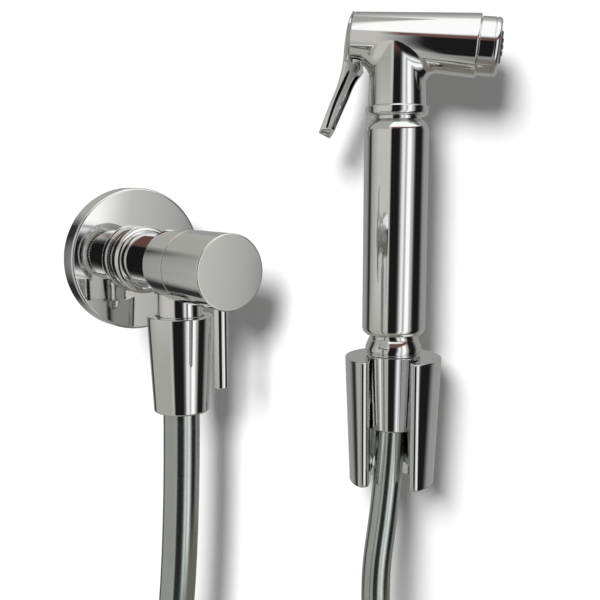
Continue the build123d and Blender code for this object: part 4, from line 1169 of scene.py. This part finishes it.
def build_cup(finish: Material) -> None:
    """Slotted cup with rolled lips, and its pad to the wall."""
    half, rim = CUP.height / 2, CUP.rim
    curve = [(rim * (1 - math.sin(a)), rim * (1 - math.cos(a))) for a in np.linspace(0, math.pi / 2, 7)]
    low = [(-half + rise, inset) for inset, rise in curve]
    high = [(half - rise, inset) for inset, rise in reversed(curve)]
    middle = [(height, 0.0) for height in np.linspace(-half + rim, half - rim, 34)[1:-1]]
    middle = sorted([*middle, (CUP.nut_foot, 0.0)])
    rings = [cup_section(height, inset) for height, inset in [*low, *middle, *high]]
    place = Matrix.Translation((*SPRAY.axis, 0))
    obj = make_object("holder_cup_shell", skin(rings), place)
    dress(obj, Body.WALL, Slot.CHROME, finish, "holder_cup")
    pad = rounded_box("holder_pad", (CUP.pad_width, CUP.pad_depth, CUP.pad_height),
                      Matrix.Translation((0, -CUP.pad_depth / 2, 0)), CUP.pad_corner, 8, along=1)
    dress(pad, Body.WALL, Slot.CHROME, finish)


# Hose


def coil_point(angle: float) -> Vector:
    """Middle line of the put-away turns at an angle from their start."""
    across, towards = Vector(HOSE.across), Vector(HOSE.towards)
    shift = HOSE.coil_pitch * (angle / TURN - HOSE.coil_turns / 2)
    spoke = -across * math.cos(angle) - Vector((0, 0, 1)) * math.sin(angle)
    return Vector(HOSE.centre) + spoke * HOSE.coil_radius + towards * shift


def nurbs_curve(name: str, points: Sequence[Vector], thickness: float) -> Piece:
    """A hose line as a NURBS curve with round thickness."""
    data = bpy.data.curves.new(name, "CURVE")
    data.dimensions = "3D"
    data.resolution_u = 12
    data.bevel_depth = thickness / 2
    data.bevel_resolution = 10
    spline = data.splines.new("NURBS")
    spline.points.add(len(points) - 1)
    for spot, point in zip(spline.points, points):
        spot.co = (*point, 1.0)
    spline.order_u = 3
    spline.use_endpoint_u = True
    return add_object(name, data)


def evaluated_mesh(obj: Piece, name: str) -> bpy.types.Mesh:
    """The mesh that a curve makes."""
    graph = bpy.context.evaluated_depsgraph_get()
    graph.update()
    mesh = bpy.data.meshes.new_from_object(obj.evaluated_get(graph))
    mesh.name = name
    return mesh


def build_hose(finish: Material, rubber: Material) -> None:
    """The hose: the valve's leg with the put-away turns, and the spray's leg."""
    count = round(HOSE.points_per_turn * HOSE.coil_turns)
    turns = [coil_point(TURN * HOSE.coil_turns * step / count) for step in range(count + 1)]
    leg = [Vector(point) for point in HOSE.valve_leg]
    coiled = nurbs_curve("hose_from_valve", [*leg, *turns], HOSE.diameter)
    dress(coiled, Body.WALL, Slot.HOSE, finish, "hose_valve_leg", "hose_coil")
    straps = build_ties(rubber)
    line = nurbs_curve("spray_leg_line", [Vector(point) for point in HOSE.spray_leg], HOSE.diameter)
    skin_mesh = evaluated_mesh(line, "hose_to_spray")
    line.data.bevel_depth = 0.0
    path_mesh = evaluated_mesh(line, "spray_leg_path")
    bpy.data.objects.remove(line)
    bpy.data.meshes.remove(path_mesh)
    tube = add_object("hose_to_spray", skin_mesh)
    skin_mesh.shade_smooth()
    skin_mesh.materials.clear()
    skin_mesh.materials.append(finish)
    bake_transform(tube)
    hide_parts("hose_spray_leg")


def build_ties(finish: Material) -> Piece:
    """Two rubber straps, each round both turns."""
    straps = bmesh.new()
    towards = Vector(HOSE.towards)
    inner = HOSE.diameter / 2 + HOSE.tie_gap
    outer = inner + HOSE.tie_thickness
    for angle_deg in HOSE.tie_angles_deg:
        angle = math.radians(angle_deg)
        one, other = coil_point(angle), coil_point(angle + TURN)
        along = (coil_point(angle + 0.01) - coil_point(angle - 0.01)).normalized()
        outwards = along.cross(towards).normalized()
        rings = []
        for side, radius in ((-1, inner), (-1, outer), (1, outer), (1, inner)):
            ring = []
            for centre, start in ((other, 0.0), (one, math.pi)):
                for step in range(25):
                    turn = start - math.pi / 2 + math.pi * step / 24
                    spoke = towards * math.cos(turn) + outwards * math.sin(turn)
                    ring.append((centre + spoke * radius + along * (side * HOSE.tie_width / 2)) / MM)
            rings.append(ring)
        join_into(straps, skin([*rings, rings[0]], caps=False))
    obj = make_object("hose_straps", straps, Matrix.Identity(4))
    dress(obj, Body.WALL, Slot.RUBBER, finish, "hose_ties")
    return obj


# Stage


@dataclass(frozen=True)
class Backdrop:
    """A white wall: its middle and the way it faces, in millimetres, and its size."""

    name: str
    middle: tuple[float, float, float]
    facing: tuple[float, float, float]
    width: float
    height: float


SPRAY_WALL = Backdrop("spray_wall", (0.0, 2.0, 0.0), (0.0, -1.0, 0.0), 3000.0, 3000.0)
VALVE_WALL = Backdrop("valve_wall", (-98.0, -46.9, 32.5), (-0.605, -0.796, 0.0), 165.0, 315.0)
FLOOR_HEIGHT = -360.0
FLOOR_REACH = 2500.0

# Tones of the cards in the room that the chrome reflects

BLACK = "#1a1a1b"
SOOT = "#2d2d2d"
SLATE = "#4c4c4c"
ASH = "#767574"
GREY = "#919190"
STONE = "#a4a4a3"
LIGHT = "#bdbbb8"
PALE = "#e8eaec"
WHITE = "#fdfdfd"
TAUPE = "#74706a"

AZIMUTH_BANDS: tuple[tuple[float, str], ...] = (
    (-180, GREY), (-130, GREY), (-120, ASH), (-113, SOOT), (-105, SOOT), (-99, GREY), (-90, STONE),
    (-70, LIGHT), (-28, LIGHT), (-25.5, GREY), (-23, BLACK), (2, BLACK), (7, SLATE), (11, GREY),
    (18, PALE), (23, PALE), (28, STONE), (31, LIGHT), (35, WHITE), (46, WHITE), (50, LIGHT), (57, STONE),
    (62, SLATE), (67, BLACK), (91, BLACK), (97, SLATE), (103, ASH), (112, GREY), (180, GREY),
)
ROLL_BANDS: tuple[tuple[float, str], ...] = (
    (0, LIGHT), (33, LIGHT), (38, WHITE), (92, WHITE), (102, LIGHT), (122, GREY), (172, ASH),
    (226, TAUPE), (298, TAUPE), (310, GREY), (334, TAUPE),
)
CAP_HEIGHT = (0.50, 0.56)
FOOT_HEIGHT = (0.64, 0.72)
LINE_HEIGHT = (0.37, 0.55)
LINE_AZIMUTH = (-24.0, 62.0)
LINE_COLOUR = "#6a4c46"
BAND_LEAN_DEG = -7.3
PLAIN_REAR_ABOVE = -150.0
PLAIN_REAR_BELOW = -101.0
PLAIN_EDGE = -33.0
PLAIN_HEIGHT = (0.22, 0.34)
PLAIN_COLOUR = "#a3a29e"
STUDIO_GAIN = 1.27
STUDIO_RADIUS = 0.44
STUDIO_HALF_HEIGHT = 0.60
STUDIO_MIDDLE = 110.0
AMBIENT = 0.2


def studio_colours(graph: Graph, way: Socket) -> Socket:
    """Colours of the photographer's room along a direction.

    Args:
        graph: Graph that gets the nodes.
        way: Unit direction from the spray.

    Returns:
        Upright bands round the horizon, with a bright card above and a dim floor below.
    """
    right = graph.dot(way, VIEW.right)
    back = graph.dot(way, VIEW.back)
    up = graph.dot(way, Vector((0.0, 0.0, 1.0)))
    around = graph.math("DIVIDE", graph.math("ARCTAN2", right, back), TURN)
    leaning = graph.math("MULTIPLY_ADD", up, BAND_LEAN_DEG / 360, graph.math("ADD", around, 0.5))
    level = graph.ramp(leaning, [((deg + 180) / 360, code) for deg, code in AZIMUTH_BANDS])
    roll = graph.math("DIVIDE", graph.math("ARCTAN2", up, back), TURN)
    rolled = graph.ramp(graph.math("FRACT", graph.math("ADD", roll, 1.0)),
                        [(deg / 360, code) for deg, code in ROLL_BANDS])
    line_start, line_end = LINE_AZIMUTH
    strip = graph.math("MULTIPLY", graph.between(up, *LINE_HEIGHT, 0.02),
                       graph.between(around, line_start / 360, line_end / 360, 0.004))
    lined = graph.mix(strip, level, srgb(LINE_COLOUR))
    down = graph.math("MULTIPLY", up, -1.0)
    steep = graph.math("MAXIMUM", graph.ranged(up, *CAP_HEIGHT), graph.ranged(down, *FOOT_HEIGHT))
    room = graph.mix(steep, lined, rolled)
    plain = []
    for height, rear in ((up, PLAIN_REAR_ABOVE), (down, PLAIN_REAR_BELOW)):
        sector = graph.between(around, rear / 360, PLAIN_EDGE / 360, 0.01)
        plain.append(graph.math("MULTIPLY", sector, graph.ranged(height, *PLAIN_HEIGHT)))
    return graph.mix(graph.math("MAXIMUM", *plain), room, srgb(PLAIN_COLOUR))


def build_world() -> None:
    """White for the camera and a dim even light for the walls and the object."""
    world = bpy.data.worlds.new("room light")
    bpy.context.scene.world = world
    world.use_nodes = True
    graph = Graph(world.node_tree)
    dim = graph.node("ShaderNodeBackground", {"Color": (1.0, 1.0, 1.0, 1.0), "Strength": AMBIENT})
    white = graph.node("ShaderNodeBackground", {"Color": (1.0, 1.0, 1.0, 1.0), "Strength": 1.0})
    is_camera = graph.node("ShaderNodeLightPath").outputs["Is Camera Ray"]
    mixed = graph.node("ShaderNodeMixShader", {0: is_camera, 1: dim.outputs[0], 2: white.outputs[0]})
    graph.node("ShaderNodeOutputWorld", {"Surface": mixed.outputs[0]})


def build_studio() -> None:
    """The photographer's room as a shell round the object, which only reflections see."""
    material, graph = new_material("studio room")
    place = graph.node("ShaderNodeTexCoord").outputs["Object"]
    way = graph.node("ShaderNodeVectorMath", {0: place}, operation="NORMALIZE").outputs[0]
    glow = graph.node("ShaderNodeEmission", {"Color": studio_colours(graph, way), "Strength": STUDIO_GAIN})
    graph.node("ShaderNodeOutputMaterial", {"Surface": glow.outputs[0]})
    material.cycles.emission_sampling = "NONE"
    shell = bmesh.new()
    bmesh.ops.create_uvsphere(shell, u_segments=128, v_segments=64, radius=STUDIO_RADIUS)
    tall = Matrix.Scale(STUDIO_HALF_HEIGHT / STUDIO_RADIUS, 4, Vector((0.0, 0.0, 1.0)))
    bmesh.ops.transform(shell, matrix=tall, verts=shell.verts)
    mesh = bpy.data.meshes.new("studio_shell")
    shell.to_mesh(mesh)
    shell.free()
    mesh.shade_smooth()
    mesh.materials.append(material)
    obj = add_object("studio_shell", mesh)
    obj.location = Vector((*SPRAY.axis, STUDIO_MIDDLE)) * MM
    for kind in ("camera", "diffuse", "shadow", "transmission", "volume_scatter"):
        setattr(obj, f"visible_{kind}", False)


def wall_material() -> Material:
    """White wall that is clear from behind, so that it never hides the object."""
    material, graph = new_material("white wall")
    paint = graph.node("ShaderNodeBsdfDiffuse", {"Color": srgb("#f7f7f7")})
    clear = graph.node("ShaderNodeBsdfTransparent")
    behind = graph.node("ShaderNodeNewGeometry").outputs["Backfacing"]
    mixed = graph.node("ShaderNodeMixShader", {0: behind, 1: paint.outputs[0], 2: clear.outputs[0]})
    graph.node("ShaderNodeOutputMaterial", {"Surface": mixed.outputs[0]})
    return material


def stage_sheet(name: str, corners: Sequence[Vector], material: Material) -> Piece:
    """A four-cornered sheet that only the camera and the lamps see."""
    mesh = bpy.data.meshes.new(name)
    mesh.from_pydata([Vector(corner) * MM for corner in corners], [], [(0, 1, 2, 3)])
    mesh.materials.append(material)
    obj = add_object(name, mesh)
    obj.visible_diffuse = False
    obj.visible_glossy = False
    return obj


def build_backdrop(wall: Backdrop, material: Material) -> None:
    """One upright white wall that faces the way its backdrop says."""
    up = Vector((0, 0, wall.height / 2))
    side = Vector((0, 0, 1)).cross(Vector(wall.facing).normalized()) * (wall.width / 2)
    corners = [Vector(wall.middle) + side * across + up * rise
               for across, rise in ((-1, -1), (1, -1), (1, 1), (-1, 1))]
    stage_sheet(wall.name, corners, material).visible_shadow = False


def build_floor(material: Material) -> None:
    """Pale floor well below the hose, up to the spray's wall."""
    reach, wall = FLOOR_REACH, SPRAY_WALL.middle[1]
    outline = ((-reach, -reach), (reach, -reach), (reach, wall), (-reach, wall))
    stage_sheet("floor", [Vector((x, y, FLOOR_HEIGHT)) for x, y in outline], material)


@dataclass(frozen=True)
class Sun:
    """A soft lamp far away: the way its light travels, how soft it is and how strong."""

    name: str
    travel: tuple[float, float, float]
    softness_deg: float
    strength: float


SPRAY_SHADOW_SUN = Sun("spray_shadow_sun", (0.24, 1.0, -0.64), 24.0, 3.6)
VALVE_SHADOW_SUN = Sun("valve_shadow_sun", (-0.08, 1.0, -0.38), 14.0, 4.3)
PIECE_SUN = Sun("piece_sun", (0.3, 1.0, -0.7), 24.0, 1.8)
VALVE_GROUP_LIMIT = -0.03


def build_sun(sun: Sun) -> Piece:
    """Adds one lamp, which reflections don't see."""
    data = bpy.data.lights.new(sun.name, "SUN")
    data.angle = math.radians(sun.softness_deg)
    data.energy = sun.strength
    obj = add_object(sun.name, data)
    obj.rotation_euler = (-Vector(sun.travel)).to_track_quat("Z", "Y").to_euler()
    obj.visible_glossy = False
    return obj


def linked(name: str, pieces: Iterable[Piece]) -> bpy.types.Collection:
    """A collection that only lamps use."""
    group = bpy.data.collections.new(name)
    for piece in pieces:
        group.objects.link(piece)
    return group


def stands_left(obj: Piece) -> bool:
    """True if a piece belongs to the valve's side of the picture."""
    reach = [(obj.matrix_world @ Vector(corner)).x for corner in obj.bound_box]
    return max(reach) < VALVE_GROUP_LIMIT


def build_lights(pieces: Sequence[Piece]) -> None:
    """One lamp for each wall, which only its own group shades, and one for the object itself.

    Args:
        pieces: Every object of the scene that isn't part of the stage.
    """
    walls = {name: bpy.data.objects[name] for name in (SPRAY_WALL.name, VALVE_WALL.name, "floor")}
    valve_side = [piece for piece in pieces if stands_left(piece) or piece.name.startswith("hose_from")]
    spray_side = [piece for piece in pieces if piece not in valve_side]
    lamp = build_sun(SPRAY_SHADOW_SUN).light_linking
    lamp.receiver_collection = linked("spray wall and floor", (walls[SPRAY_WALL.name], walls["floor"]))
    lamp.blocker_collection = linked("spray side", spray_side)
    lamp = build_sun(VALVE_SHADOW_SUN).light_linking
    lamp.receiver_collection = linked("valve wall", (walls[VALVE_WALL.name],))
    lamp.blocker_collection = linked("valve side", valve_side)
    build_sun(PIECE_SUN).light_linking.receiver_collection = linked("object", pieces)


def build_camera() -> None:
    """The picture's own camera."""
    data = bpy.data.cameras.new("camera")
    data.lens = VIEW.lens
    data.sensor_width = VIEW.sensor
    data.clip_start = 0.01
    data.clip_end = 20.0
    obj = add_object("camera", data)
    obj.location = Vector(VIEW.place) * MM
    obj.rotation_euler = (math.radians(90.0 - VIEW.pitch_deg), 0.0, math.radians(VIEW.turn_deg))
    scene = bpy.context.scene
    scene.camera = obj
    scene.view_settings.view_transform = "Standard"


# Whole scene


def build_materials() -> dict[Slot, Material]:
    """One material for each slot."""
    return {slot: build_material(finish) for slot, finish in FINISHES.items()}


def finish_frame(frame: dict, materials: dict[Slot, Material]) -> None:
    """Gives every frame node that stays in view its slot's material."""
    slots = {part["node"]: part["material_slot"] for part in frame["record"]["subparts"]}
    for name, node in frame["nodes"].items():
        node.data.materials.clear()
        node.data.materials.append(materials[Slot(slots[name])])


def build_pieces(materials: dict[Slot, Material]) -> None:
    """All fine pieces of the object."""
    chrome = materials[Slot.CHROME]
    builders: list[Callable[[Material], None]] = [
        build_rosette, build_casting, build_inlet_thread, build_tap_handle, build_spray_foot, build_grip,
        build_head_shell, build_head_turnings, build_cup,
    ]
    for builder in builders:
        builder(chrome)
    outlet = Vector(VALVE.outlet) - Vector((0, 0, VALVE.outlet_drop))
    build_nut("nut_at_valve", Matrix.Translation(outlet), Body.WALL, "hose_nut_valve", chrome)
    build_nut("nut_at_spray", SPRAY.place, Body.SPRAY, "hose_nut_spray", chrome)
    build_nozzle(chrome, materials[Slot.NOZZLE])
    build_trigger(chrome, materials[Slot.STEEL])
    build_hose(materials[Slot.HOSE], materials[Slot.RUBBER])


def main() -> None:
    """Builds the scene round the frame."""
    logging.basicConfig(level=logging.INFO, format="%(name)s: %(message)s")
    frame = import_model()
    materials = build_materials()
    finish_frame(frame, materials)
    build_pieces(materials)
    pieces = [obj for obj in bpy.context.scene.objects if obj.type in ("MESH", "CURVE")]
    build_world()
    build_studio()
    paint = wall_material()
    build_backdrop(SPRAY_WALL, paint)
    build_backdrop(VALVE_WALL, paint)
    build_floor(paint)
    build_lights(pieces)
    build_camera()


if __name__ == "__main__":
    main()
